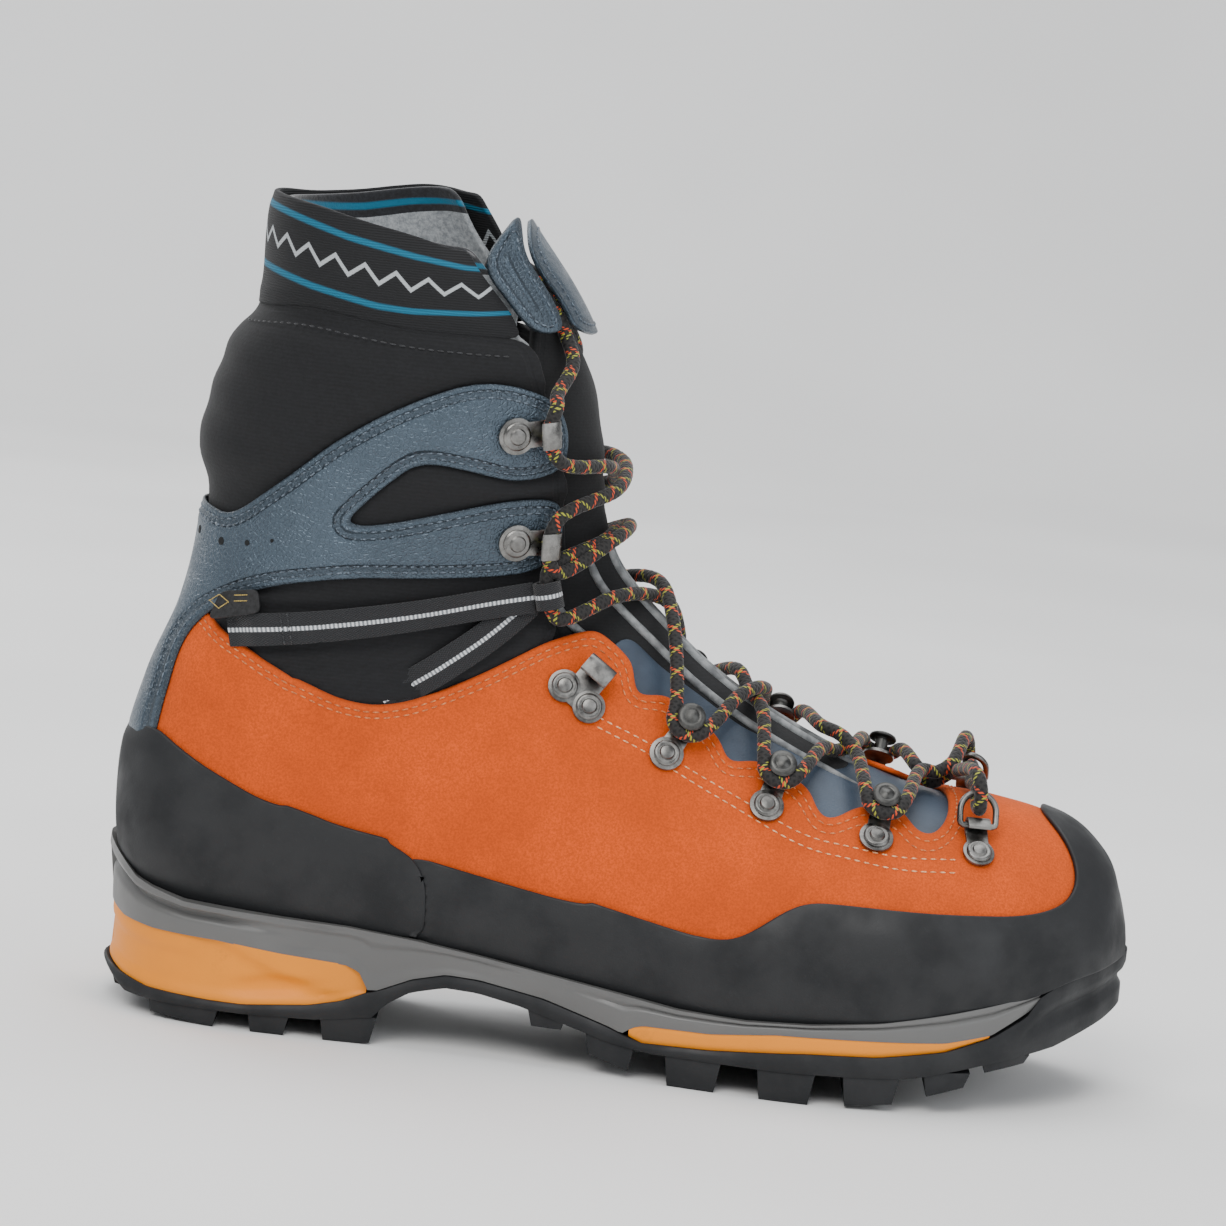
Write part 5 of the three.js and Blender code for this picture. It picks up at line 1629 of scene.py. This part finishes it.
def make_ring(label, side):
    matrix = seat(side, *raised(D_RING, side * RING_RISE), EYELET_OFFSET)
    plate = Build()
    plate.prism(teardrop(4.9, 8, 3.4), 0, PLATE, 0.22)
    plate.swept(curl_profile(6.5, RING_BAR + 2.5, 2.9, RING_BAR - 2.2), 7.0, 0.2)
    fitting(f"ring_plate_{label}", plate, matrix, "steel", replaces=[f"d_ring_plate_{label}"])
    head = Build().turned(rivet_profile(3.9))
    fitting(f"ring_plate_head_{label}", head, matrix, "steel", replaces=[f"d_ring_plate_{label}_rivet"])
    bend = np.linspace(-math.pi / 2, math.pi / 2, 22)
    path = [(0, y, 0) for y in np.linspace(4.6, -4.6, 8)] + [(0.35, -5.3, 0), (1.2, -5.55, 0), (3, -5.55, 0)]
    path += [(4.5 + 5.55 * math.cos(a), 5.55 * math.sin(a), 0) for a in bend] + [(3, 5.55, 0), (1.2, 5.55, 0),
                                                                                 (0.35, 5.3, 0)]
    path = np.array(path)
    x = path[:, 0] * math.cos(RING_TILT)
    z = path[:, 0] * math.sin(RING_TILT)
    path = np.stack([x + RING_BAR, path[:, 1], z + PLATE + 1.5], 1)
    ring = Build().tube(path, 0.98, 14, True)
    fitting(f"lace_ring_{label}", ring, matrix, "steel", f"d_ring_{label}", [f"d_ring_{label}"], sharp=None)


# ---- webbing ----
def run_along(line):
    return np.concatenate([[0], np.cumsum(np.linalg.norm(np.diff(line, axis=0), axis=1))])


def resampled(line, step):
    line = np.asarray(line, float)
    run = run_along(line)
    at = np.linspace(0, run[-1], max(3, int(run[-1] / step) + 1))
    return np.stack([np.interp(at, run, line[:, k]) for k in range(line.shape[1])], 1)


def ribbon(name, top, base, along, across, material, closed=False, body=BOOT, replaces=()):
    """A woven band from two grids of points, rows along its run, with its run kept as a UV map."""
    n, m = top.shape[:2]
    points = np.concatenate([top.reshape(-1, 3), base.reshape(-1, 3)])
    faces, spots = [], []
    half = n * m
    uv = np.stack(np.meshgrid(along, across, indexing="ij"), -1).reshape(-1, 2)
    uv = np.concatenate([uv, uv])
    for i in range(n if closed else n - 1):
        k = (i + 1) % n
        for j in range(m - 1):
            faces.append((i * m + j, k * m + j, k * m + j + 1, i * m + j + 1))
            faces.append(tuple(half + v for v in reversed(faces[-1])))
        for j, flip in ((0, False), (m - 1, True)):
            face = (i * m + j, half + i * m + j, half + k * m + j, k * m + j)
            faces.append(face[::-1] if flip else face)
    if not closed:
        for i, flip in ((0, True), (n - 1, False)):
            for j in range(m - 1):
                face = (i * m + j, half + i * m + j, half + i * m + j + 1, i * m + j + 1)
                faces.append(face[::-1] if flip else face)
    mesh = bpy.data.meshes.new(name)
    mesh.from_pydata([tuple(p) for p in points * MM], [], faces)
    layer = mesh.uv_layers.new(name="run")
    for poly in mesh.polygons:
        for loop in poly.loop_indices:
            layer.data[loop].uv = uv[mesh.loops[loop].vertex_index]
    normals_out(mesh)
    mesh.materials.append(MATERIALS[material])
    mesh.shade_smooth()
    mesh.set_sharp_from_angle(angle=math.radians(50))
    return settle(linked(name, mesh), body, replaces)


def band_on_boot(name, line, half, side, low, high, tuck, replaces=()):
    middle = resampled(rounded(line, 12, 6, closed=False), 1.2)
    heading = unit(np.gradient(middle, axis=0))
    widths = np.array([-1, -0.82, -0.6, -0.3, 0, 0.3, 0.6, 0.82, 1]) * half
    spots = middle[:, None] + np.stack([-heading[:, 1], heading[:, 0]], -1)[:, None] * widths[None, :, None]
    t, a = locate(spots.reshape(-1, 2), side)
    shape = spots.shape[:2]
    along = run_along(middle)
    rib = 0.16 * np.sin(np.arange(shape[0]) * 1.2 * 2.6)[:, None]
    edge = 0.25 * (np.abs(widths) > half * 0.95)[None]
    sunk = (1 - smoothstep(along, tuck[0], tuck[1]))[:, None] * tuck[2]
    top = surface(t.reshape(shape), a.reshape(shape), high + rib - edge - sunk)
    base = surface(t.reshape(shape), a.reshape(shape), low + edge - sunk)
    return ribbon(name, top, base, along, widths, "webbing", replaces=replaces)


def make_webbing(label, side):
    half = in_mm("webbing_width") / 2
    band_on_boot(f"upper_pull_webbing_{label}", WEBBING_UPPER, half, side, 4.2, 5.4, (2, 9, 2.6),
                 [f"webbing_strap_{label}"])
    band_on_boot(f"lower_pull_webbing_{label}", WEBBING_LOWER, half, side, 2.6, 3.9, (7, 20, 3.4))
    matrix = seat(side, *LOOP, 6.6)
    turn = np.linspace(0, 2 * math.pi, 33)[:-1]
    widths = np.linspace(-4, 4, 7)
    grids = []
    for radius in (4.25, 3.05):
        x, z = radius * np.cos(turn), radius * np.sin(turn)
        grid = np.stack([np.broadcast_to(x[:, None], (32, 7)), np.broadcast_to(widths[None], (32, 7)),
                         np.broadcast_to(z[:, None], (32, 7))], -1)
        grids.append(seated(matrix, grid.reshape(-1, 3)).reshape(32, 7, 3))
    ribbon(f"lace_loop_{label}", grids[0], grids[1], turn * 4.2, widths, "webbing", True)


def make_tag():
    panel_piece("side_tag_label", tag_region, 6.2, 5.6, 6.5, "tag", "plastic", ["side_tag"], 0.3, rows=700,
                columns=420,
                t_from=10, t_to=18)
    mark = [[(-127.5, 127), (-125, 129.6), (-122.5, 127.9), (-125, 125.3), (-127.5, 127)],
            [(-120.8, 128.6), (-117.8, 129.4)], [(-120.8, 130.4), (-117.8, 131.2)]]
    lines, normals = [], []
    for shape in mark:
        spots = resampled(shape, 0.6)
        t, a = locate(spots, -1)
        lines.append(surface(t, a, 6.6))
        normals.append(facing(t, a))
    stitches("side_tag_mark", lines, normals, "tag_mark", "plastic", 0.62, 0.8, 0.35)


# ---- lace ----
UNDER, OVER, BAR_LIFT = 2.5, 6.5, 4.7
IN_RING = [(22, -1.5, 2.4), (17.2, -0.8, 2.3), (12.4, 0, 6.2), (15.6, 0.6, 11.2), (21, 1.5, 11.8)]
IN_EYELET = [(13.8, -6.2, 4), (8.6, -4, 4), (6.9, 0, 4), (8.6, 4, 4), (13.8, 6.2, 4)]
IN_LOOP = [(1.4, -7.5, 0), (0, 0, 0), (1.4, 7.5, 0)]
IN_HOOK = [(12, -8.4, 3.8), (9, 0, 3.7), (12, 8.4, 3.8)]
END_ON_LAST = [
    (18.3, 0.75, 6.4), (18.8, 0.5, 3.2), (19.3, 0.42, 1.6), (19.9, 0.42, 1.4), (20.4, 0.55, 0.6),
               (20.75, 0.67, -3.6),
]
END_HANGING = [
    (-59, 20.5, 229), (-60.5, 20, 205), (-59, 18, 160), (-57, 17, 110), (-58, 16, 64), (-66, 15, 47.5),
               (-90, 13, 46.5),
]


def guides(side):
    """The fittings that one strand passes, each on the next side in turn, with the lace's way in it."""
    out = []
    stops = [(*raised(D_RING, 0), RING_RISE, EYELET_OFFSET, IN_RING)]
    stops += [(*pair, EYELET_RISE, EYELET_OFFSET, IN_EYELET) for pair in EYELETS]
    stops += [(*LOOP, 0, 6.6, IN_LOOP)]
    stops += [(root, toward, 0, HOOK_OFFSET, IN_HOOK) for _, root, toward in reversed(HOOKS)]
    for root, toward, rise, offset, way in stops:
        matrix = seat(side, *raised((root, toward), side * rise), offset)
        out.append(seated(matrix, [(x, -side * along, z) for x, along, z in way]))
        side = -side
    return out


def on_last(point, side):
    (t,), (a,) = locate([(point[0], point[2])], side)
    return t, a, float((point - bare(t, a)).dot(outward(t, a)))


def lace_half(start):
    points, side = [], start
    for held in guides(side):
        if points:
            a, b = on_last(points[-1], -side), on_last(held[0], side)
            for share in (0.25, 0.5, 0.75):
                middle = 1 - abs(2 * share - 1)
                ends = a[2] + (b[2] - a[2]) * share
                lift = UNDER if start < 0 else OVER
                points.append(surface(a[0] + (b[0] - a[0]) * share, a[1] + (b[1] - a[1]) * share,
                                      ends + (lift - ends) * middle))
        points += list(held)
        side = -side
    side = -side
    points += [surface(t, -side * angle, offset) for t, angle, offset in END_ON_LAST]
    points += [np.array((x, side * y, z), float) for x, y, z in END_HANGING]
    return points


def lace_route():
    outer, inner = lace_half(-1), lace_half(1)
    first, last = on_last(outer[0], -1), on_last(inner[0], 1)
    bar = [surface(first[0] + (last[0] - first[0]) * s, first[1] + (last[1] - first[1]) * s, BAR_LIFT)
           for s in (0.3, 0.5, 0.7)]
    return np.array([*outer[::-1], *bar, *inner])


def centripetal(points, step):
    """A smooth line through every point, its own points a step apart."""
    ends = [2 * points[0] - points[1], *points, 2 * points[-1] - points[-2]]
    out = []
    for a, b, c, d in zip(ends, ends[1:], ends[2:], ends[3:]):
        d0, d1, d2 = (max(1e-4, np.linalg.norm(q - p) ** 0.5) for p, q in ((a, b), (b, c), (c, d)))
        m1 = ((b - a) / d0 - (c - a) / (d0 + d1) + (c - b) / d1) * d1
        m2 = ((c - b) / d1 - (d - b) / (d1 + d2) + (d - c) / d2) * d1
        for s in np.linspace(0, 1, max(3, int(np.linalg.norm(c - b) / step) + 1))[:-1]:
            out.append(b + s * m1 + s * s * (3 * (c - b) - 2 * m1 - m2) + s ** 3 * (2 * (b - c) + m1 + m2))
    out.append(points[-1])
    return np.array(out)


def make_lace():
    path = resampled(centripetal(lace_route(), 0.8), 1.15)
    sides = 16
    run = run_along(path)
    diameter = in_mm("lace_diameter")
    points, faces = tube_mesh(path, diameter / 2, sides)
    rings = points.reshape(-1, sides, 3)
    around = np.arange(sides) / sides
    right = np.sin(math.pi * (0.55 * run[:, None] + 5 * around[None]))
    left = np.sin(math.pi * (0.55 * run[:, None] - 5 * around[None]))
    relief = 0.93 + 0.09 * np.maximum(np.abs(right), np.abs(left))
    points = (path[:, None] + (rings - path[:, None]) * relief[..., None]).reshape(-1, 3)
    mesh = bpy.data.meshes.new("lace_braid")
    mesh.from_pydata([tuple(p) for p in points * MM], [], faces)
    layer = mesh.uv_layers.new(name="run")
    for poly in mesh.polygons:
        if len(poly.vertices) != 4:
            continue
        corners = list(poly.vertices)
        wrap = max(v % sides for v in corners) - min(v % sides for v in corners) > 2
        for loop, v in zip(poly.loop_indices, corners):
            u = (v % sides) / sides
            layer.data[loop].uv = (run[v // sides], 1.0 if wrap and v % sides == 0 else u)
    mesh.materials.append(MATERIALS["lace"])
    mesh.shade_smooth()
    lace = settle(linked("lace_braid", mesh), BOOT, ["lace"])
    for label, end, before in (("a", path[0], path[3]), ("b", path[-1], path[-4])):
        away = Vector(tuple(end - before)).normalized()
        turn = Vector((0, 0, 1)).rotation_difference(away).to_matrix()
        tip = Build().turned([(0, -1.6), (1.9, -1.6), (2.1, -1.1), (1.95, 0.2), (1.7, 1.2), (1.66, 17.6),
                              (1.5, 18.8),
                              (1.05, 19.4), (0, 19.5)], sides=20)
        matrix = np.concatenate([np.array(turn), end[:, None]], axis=1)
        fitting(f"lace_end_film_{label}", tip, matrix, "plastic", replaces=[f"lace_tip_{label}"])


# ---- stitching ----
def along_last(line, side, lift, lean=False, dense=1.0):
    spots = resampled(rounded(line, 8, 5, closed=False), dense)
    if lean:
        for _ in range(3):
            t, a = locate(spots, side)
            y = surface(t, a, lift)[:, 1]
            base = resampled(rounded(line, 8, 5, closed=False), dense)
            spots = np.stack([base[:, 0], base[:, 1] + SUEDE_LEAN * (y - LEAN_FROM)], 1)
    t, a = locate(spots, side)
    return surface(t, a, lift), facing(t, a)


def make_stitching():
    everywhere = lambda p: np.ones(len(p), bool)
    top_edge = lambda p, t, a: within("suede", p, True)
    front = lambda p: (p[:, 2] > 60) & (p[:, 0] < 99) & (p[:, 0] > -150)
    lines, normals = seam_lines(top_edge, 1.8, (2.2, 4.0), front, 1.88, rows=330, columns=170)
    suede_stitches("suede_edge_stitching", lines, normals, "suede_thread")
    lines, normals = [], []
    for side in (-1, 1):
        for drop in (0, 2.6):
            row = [(x, z - drop) for x, z in EYESTAY_ROW]
            p, v = along_last(row, side, 1.9, True)
            lines.append(p)
            normals.append(v)
    suede_stitches("eyestay_stitching", lines, normals, "eyestay_thread")
    lift = lambda t, a: wrap_height(t, a) + 0.08
    behind = lambda p: (p[:, 2] > 96)
    lines, normals = seam_lines(wrap_region, 3.8, (2.0, 3.9), behind, lift, rows=330, columns=170)
    stitches("wrap_stitching", lines, normals, "wrap_thread", "wrap", 2.8, 2.1, 0.55)
    lines, normals = seam_lines(strap_region, 4.5, (1.8,), everywhere, lambda t, a: 3.8 + bulge(a), rows=220,
                                columns=260,
                                t_from=17.5)
    stitches("strap_stitching", lines, normals, "wrap_thread", "wrap", 2.6, 1.9, 0.5, "collar_strap")
    lines, normals = seam_lines(tab_region, 4.5, (1.8,), lambda p: p[:, 2] < 262, lambda t, a: 3.8 + bulge(a),
                                rows=220,
                                columns=260, t_from=17.5)
    stitches("tab_stitching", lines, normals, "wrap_thread", "wrap", 2.6, 1.9, 0.5)
    lift = lambda t, a: shaft_height(t, a) + 0.05
    lines, normals = [], []
    for side in (-1, 1):
        p, v = along_last([(-126, 210.5), (-110, 213.5), (-80, 210.5), (-52, 210)], side, 3.2)
        lines.append(p)
        normals.append(v)
    stitches("cuff_stitching", lines, normals, "dark_thread", "softshell", 2.8, 2.0, 0.5)
    for side, label in ((-1, "outer"), (1, "inner")):
        lines, normals = [], []
        start, end = np.array(WEBBING_UPPER[1:3], float)
        ahead = unit(end - start)
        across = np.array([-ahead[1], ahead[0]])
        for shift in (2.0, 4.0):
            spots = [tuple(start + ahead * shift + across * w) for w in (-4, 0, 4)]
            t, a = locate(resampled(spots, 0.8), side)
            lines.append(surface(t, a, 5.5))
            normals.append(facing(t, a))
        stitches(f"webbing_bar_tacks_{label}", lines, normals, "dark_thread", "webbing", 1.6, 1.3, 0.5)


def perforation_tree():
    """Round punched holes: a dark floor on each point of a mesh."""
    tree, add, given = tree_start("Perforation", (("Floor", "Material", None), ("Depth", "Float", 0.0004)))
    cap = add("GeometryNodeMeshCylinder", {"Vertices": 20, "Radius": 1.0, "Depth": 1.0})
    lift = add("GeometryNodeInputNamedAttribute", {"Name": "lift"}, data_type="FLOAT_VECTOR")
    radius = add("GeometryNodeInputNamedAttribute", {"Name": "radius"}, data_type="FLOAT").outputs[0]
    size = add("ShaderNodeCombineXYZ", {0: radius, 1: radius, 2: given["Depth"]})
    stand = add("FunctionNodeAlignRotationToVector", {"Vector": lift.outputs[0]}, axis="Z")
    real = instances(add, given["Geometry"], cap.outputs["Mesh"], stand, size)
    return tree_end(tree, add, real, given["Floor"])


PERFORATIONS = [(-139, 149, 1.15), (-134.5, 146.5, 1.25), (-127.5, 145.3, 1.2), (-120, 146.5, 0.85),
                (-113, 148.5, 0.55)]


def make_perforations():
    spots, lifts, sizes = [], [], []
    for side in (-1, 1):
        for x, z, r in PERFORATIONS:
            (t,), (a,) = locate([(x, z)], side)
            spots.append(surface(t, a, wrap_height(t, a) - 0.1))
            lifts.append(facing(t, a))
            sizes.append(r * MM)
    mesh = bpy.data.meshes.new("wrap_perforations")
    mesh.from_pydata([tuple(p * MM) for p in spots], [], [])
    attribute_on(mesh, "lift", lifts, "FLOAT_VECTOR")
    attribute_on(mesh, "radius", sizes)
    values = {"Floor": MATERIALS["hollow"], "Depth": in_mm("hole_depth") * MM}
    settle(grown(linked("wrap_perforations", mesh), perforation_tree(), values, MATERIALS["hollow"]), BOOT)


# ---- stage ----
def make_stage():
    floor = bpy.data.meshes.new("studio_floor")
    depth_back, rise, half = 1.6, 2.4, 3.2
    profile = [(-2.6, 0.0)] + [(y, 0.0) for y in (-1, 0, 1)]
    profile += [(depth_back + math.sin(a) * 0.6, 0.6 - math.cos(a) * 0.6) for a in np.linspace(0, math.pi / 2,
                                                                                               12)]
    profile += [(depth_back + 0.6, rise)]
    verts = [(x, y, z - 0.0001) for x in (-half, half) for y, z in profile]
    n = len(profile)
    floor.from_pydata(verts, [], [(i, n + i, n + i + 1, i + 1) for i in range(n - 1)])
    floor.shade_smooth()
    f = Finish("studio_paper", 0.9)
    f.colour(f.mottle(3, 2, (236, 236, 235), (244, 244, 243)))
    floor.materials.append(f.material)
    linked("studio_floor", floor)
    for name, place, size, power, tint in (
        ("key", (-0.5, -1.5, 1.7), 1.3, 34, (1.0, 0.985, 0.96)),
        ("fill", (1.6, -1.3, 0.9), 1.4, 15, (0.96, 0.98, 1.0)),
        ("top", (0.1, 0.35, 1.9), 1.5, 24, (1, 1, 1)),
        ("back", (-1.3, 1.2, 1.1), 0.9, 12, (1, 1, 1)),
    ):
        light = bpy.data.lights.new(f"studio_{name}", "AREA")
        light.shape, light.size, light.energy, light.color = "SQUARE", size, power, tint
        lamp = linked(f"studio_{name}", light)
        lamp.location = place
        lamp.rotation_euler = (Vector((0, 0, 0.12)) - Vector(place)).to_track_quat("-Z", "Y").to_euler()
    world = bpy.data.worlds.new("studio_air")
    world.use_nodes = True
    world.node_tree.nodes["Background"].inputs[0].default_value = (0.93, 0.95, 1.0, 1)
    world.node_tree.nodes["Background"].inputs[1].default_value = 0.55
    bpy.context.scene.world = world


def make_camera():
    view = bpy.data.cameras.new("view")
    view.sensor_width, view.lens, view.clip_start = 36.0, 135.0, 0.05
    camera = linked("view", view)
    turn = Matrix.Rotation(math.radians(82), 3, "X") @ Matrix.Rotation(math.radians(6), 3, "Z")
    target = Vector((-0.0115, 0.0, 0.1328))
    camera.matrix_world = Matrix.Translation(target + turn @ Vector((0, 0, 1.4))) @ turn.to_4x4()
    bpy.context.scene.camera = camera


# ---- add-on ----
def shade(name, description, colour):
    return bpy.props.FloatVectorProperty(name=name, description=description, subtype="COLOR", size=4, min=0,
                                         max=1,
                                         default=linear(colour))


def length(name, description, millimetres):
    return bpy.props.FloatProperty(name=name, description=description, default=millimetres * MM, min=0,
                                   precision=5,
                                   subtype="DISTANCE", unit="LENGTH")


class BootSettings(bpy.types.PropertyGroup):
    """Sizes of the boot's fine parts and colours of its own materials."""

    stitch_pitch: length("Stitch pitch", "Distance between two stitches of a suede seam", 2.9)
    stitch_length: length("Stitch length", "Length of one stitch of a suede seam", 2.2)
    thread: length("Thread", "Thickness of the thread of a suede seam", 0.55)
    lace_diameter: length("Lace diameter", "Thickness of the round lace", 4.2)
    webbing_width: length("Webbing width", "Width of the pull webbing", 9.4)
    hole_depth: length("Hole depth", "Height of the dark floor in a hole of the wrap", 0.4)

    suede: shade("Suede", "Nap of the vamp", (212, 84, 22))
    rubber: shade("Rubber", "Rands and outsole", (14, 16, 19))
    sole_frame: shade("Sole frame", "Moulded frame of the midsole", (98, 98, 97))
    cushion: shade("Cushions", "Foam inserts of the midsole", (240, 142, 0))
    wrap: shade("Wrap", "Coated cloth of the ankle wrap and straps", (72, 86, 98))
    stripe: shade("Collar lines", "Two lines knitted in the collar", (2, 104, 134))
    tracer_warm: shade("Warm tracer", "First bright yarn of the lace", (206, 70, 26))
    tracer_lime: shade("Lime tracer", "Second bright yarn of the lace", (150, 152, 48))


class PieceOperator:
    bl_options = {"REGISTER"}

    def execute(self, context):
        if not MATERIALS:
            build_materials(context.scene.boot_settings)
        type(self).build()
        return {"FINISHED"}


def both(make):
    def run():
        for label, side in SIDES:
            make(label, side)
    return run


def operator(idname, label, doc, build):
    return type("BOOT_OT_" + idname, (PieceOperator, bpy.types.Operator),
                {"bl_idname": "boot." + idname, "bl_label": label, "__doc__": doc,
                 "build": staticmethod(build)})


OPERATORS = [
    operator("camera", "Camera", "Sets the camera beside the outer side of the boot", make_camera),
    operator("lace", "Lace", "Builds the braided lace and its two film ends", make_lace),
    operator("outsole", "Outsole", "Builds the rubber outsole with its tread lugs", make_outsole),
    operator("cushions", "Midsole cushions", "Builds the foam inserts under heel and forefoot",
             make_cushions),
    operator("sole_frame", "Sole frame", "Builds the moulded frame of the midsole", make_frame),
    operator("inside", "Inside", "Builds the footbed and lining and finishes the hidden stiffeners",
             make_inside),
    operator("suede", "Suede", "Builds the suede vamp and the film under its eyestay", make_suede),
    operator("rands", "Rands", "Builds the rubber rands round toe and heel", make_rands),
    operator("shaft", "Shaft", "Builds the padded softshell shaft", make_shaft),
    operator("wrap", "Ankle wrap", "Builds the coated wrap over heel and ankle", make_wrap),
    operator("perforations", "Perforations", "Punches the vent holes in the ankle wrap", make_perforations),
    operator("collar", "Collar", "Builds the elastic collar band", make_collar),
    operator("tongue", "Tongue", "Builds the padded tongue and its ribs", make_tongue),
    operator("strap", "Strap and tab", "Builds the closing strap and the front tab", make_strap),
    operator("hooks", "Lace hooks", "Builds the four upper lace hooks and their rivets", both(make_hooks)),
    operator("lock_hooks", "Locking hooks", "Builds the two locking hooks", both(make_lock_hook)),
    operator("eyelets", "Roller eyelets", "Builds the six riveted eyelets and their rollers",
             both(make_eyelets)),
    operator("rings", "Lace rings", "Builds the two D-rings and their plates", both(make_ring)),
    operator("webbing", "Pull webbing", "Builds the woven pull straps and lace loops", both(make_webbing)),
    operator("tag", "Side tag", "Builds the woven tag at the ankle", make_tag),
    operator("stitching", "Stitching", "Sews every visible seam", make_stitching),
    operator("stage", "Stage", "Sets the pale floor and the soft lights", make_stage),
]


class BOOT_PT_pieces(bpy.types.Panel):
    """Lists the boot's pieces in the sidebar."""

    bl_label = "Mountaineering Boot"
    bl_space_type = "VIEW_3D"
    bl_region_type = "UI"
    bl_category = "Boot"

    def draw(self, context):
        for prop in BootSettings.__annotations__:
            self.layout.prop(context.scene.boot_settings, prop)
        for entry in OPERATORS:
            self.layout.operator(entry.bl_idname)


CLASSES = [BootSettings, *OPERATORS, BOOT_PT_pieces]


def register():
    for entry in CLASSES:
        bpy.utils.register_class(entry)
    bpy.types.Scene.boot_settings = bpy.props.PointerProperty(type=BootSettings)


def unregister():
    del bpy.types.Scene.boot_settings
    for entry in reversed(CLASSES):
        bpy.utils.unregister_class(entry)


def main():
    register()
    for entry in OPERATORS:
        getattr(bpy.ops.boot, entry.bl_idname.split(".")[1])()


if __name__ == "__main__":
    main()
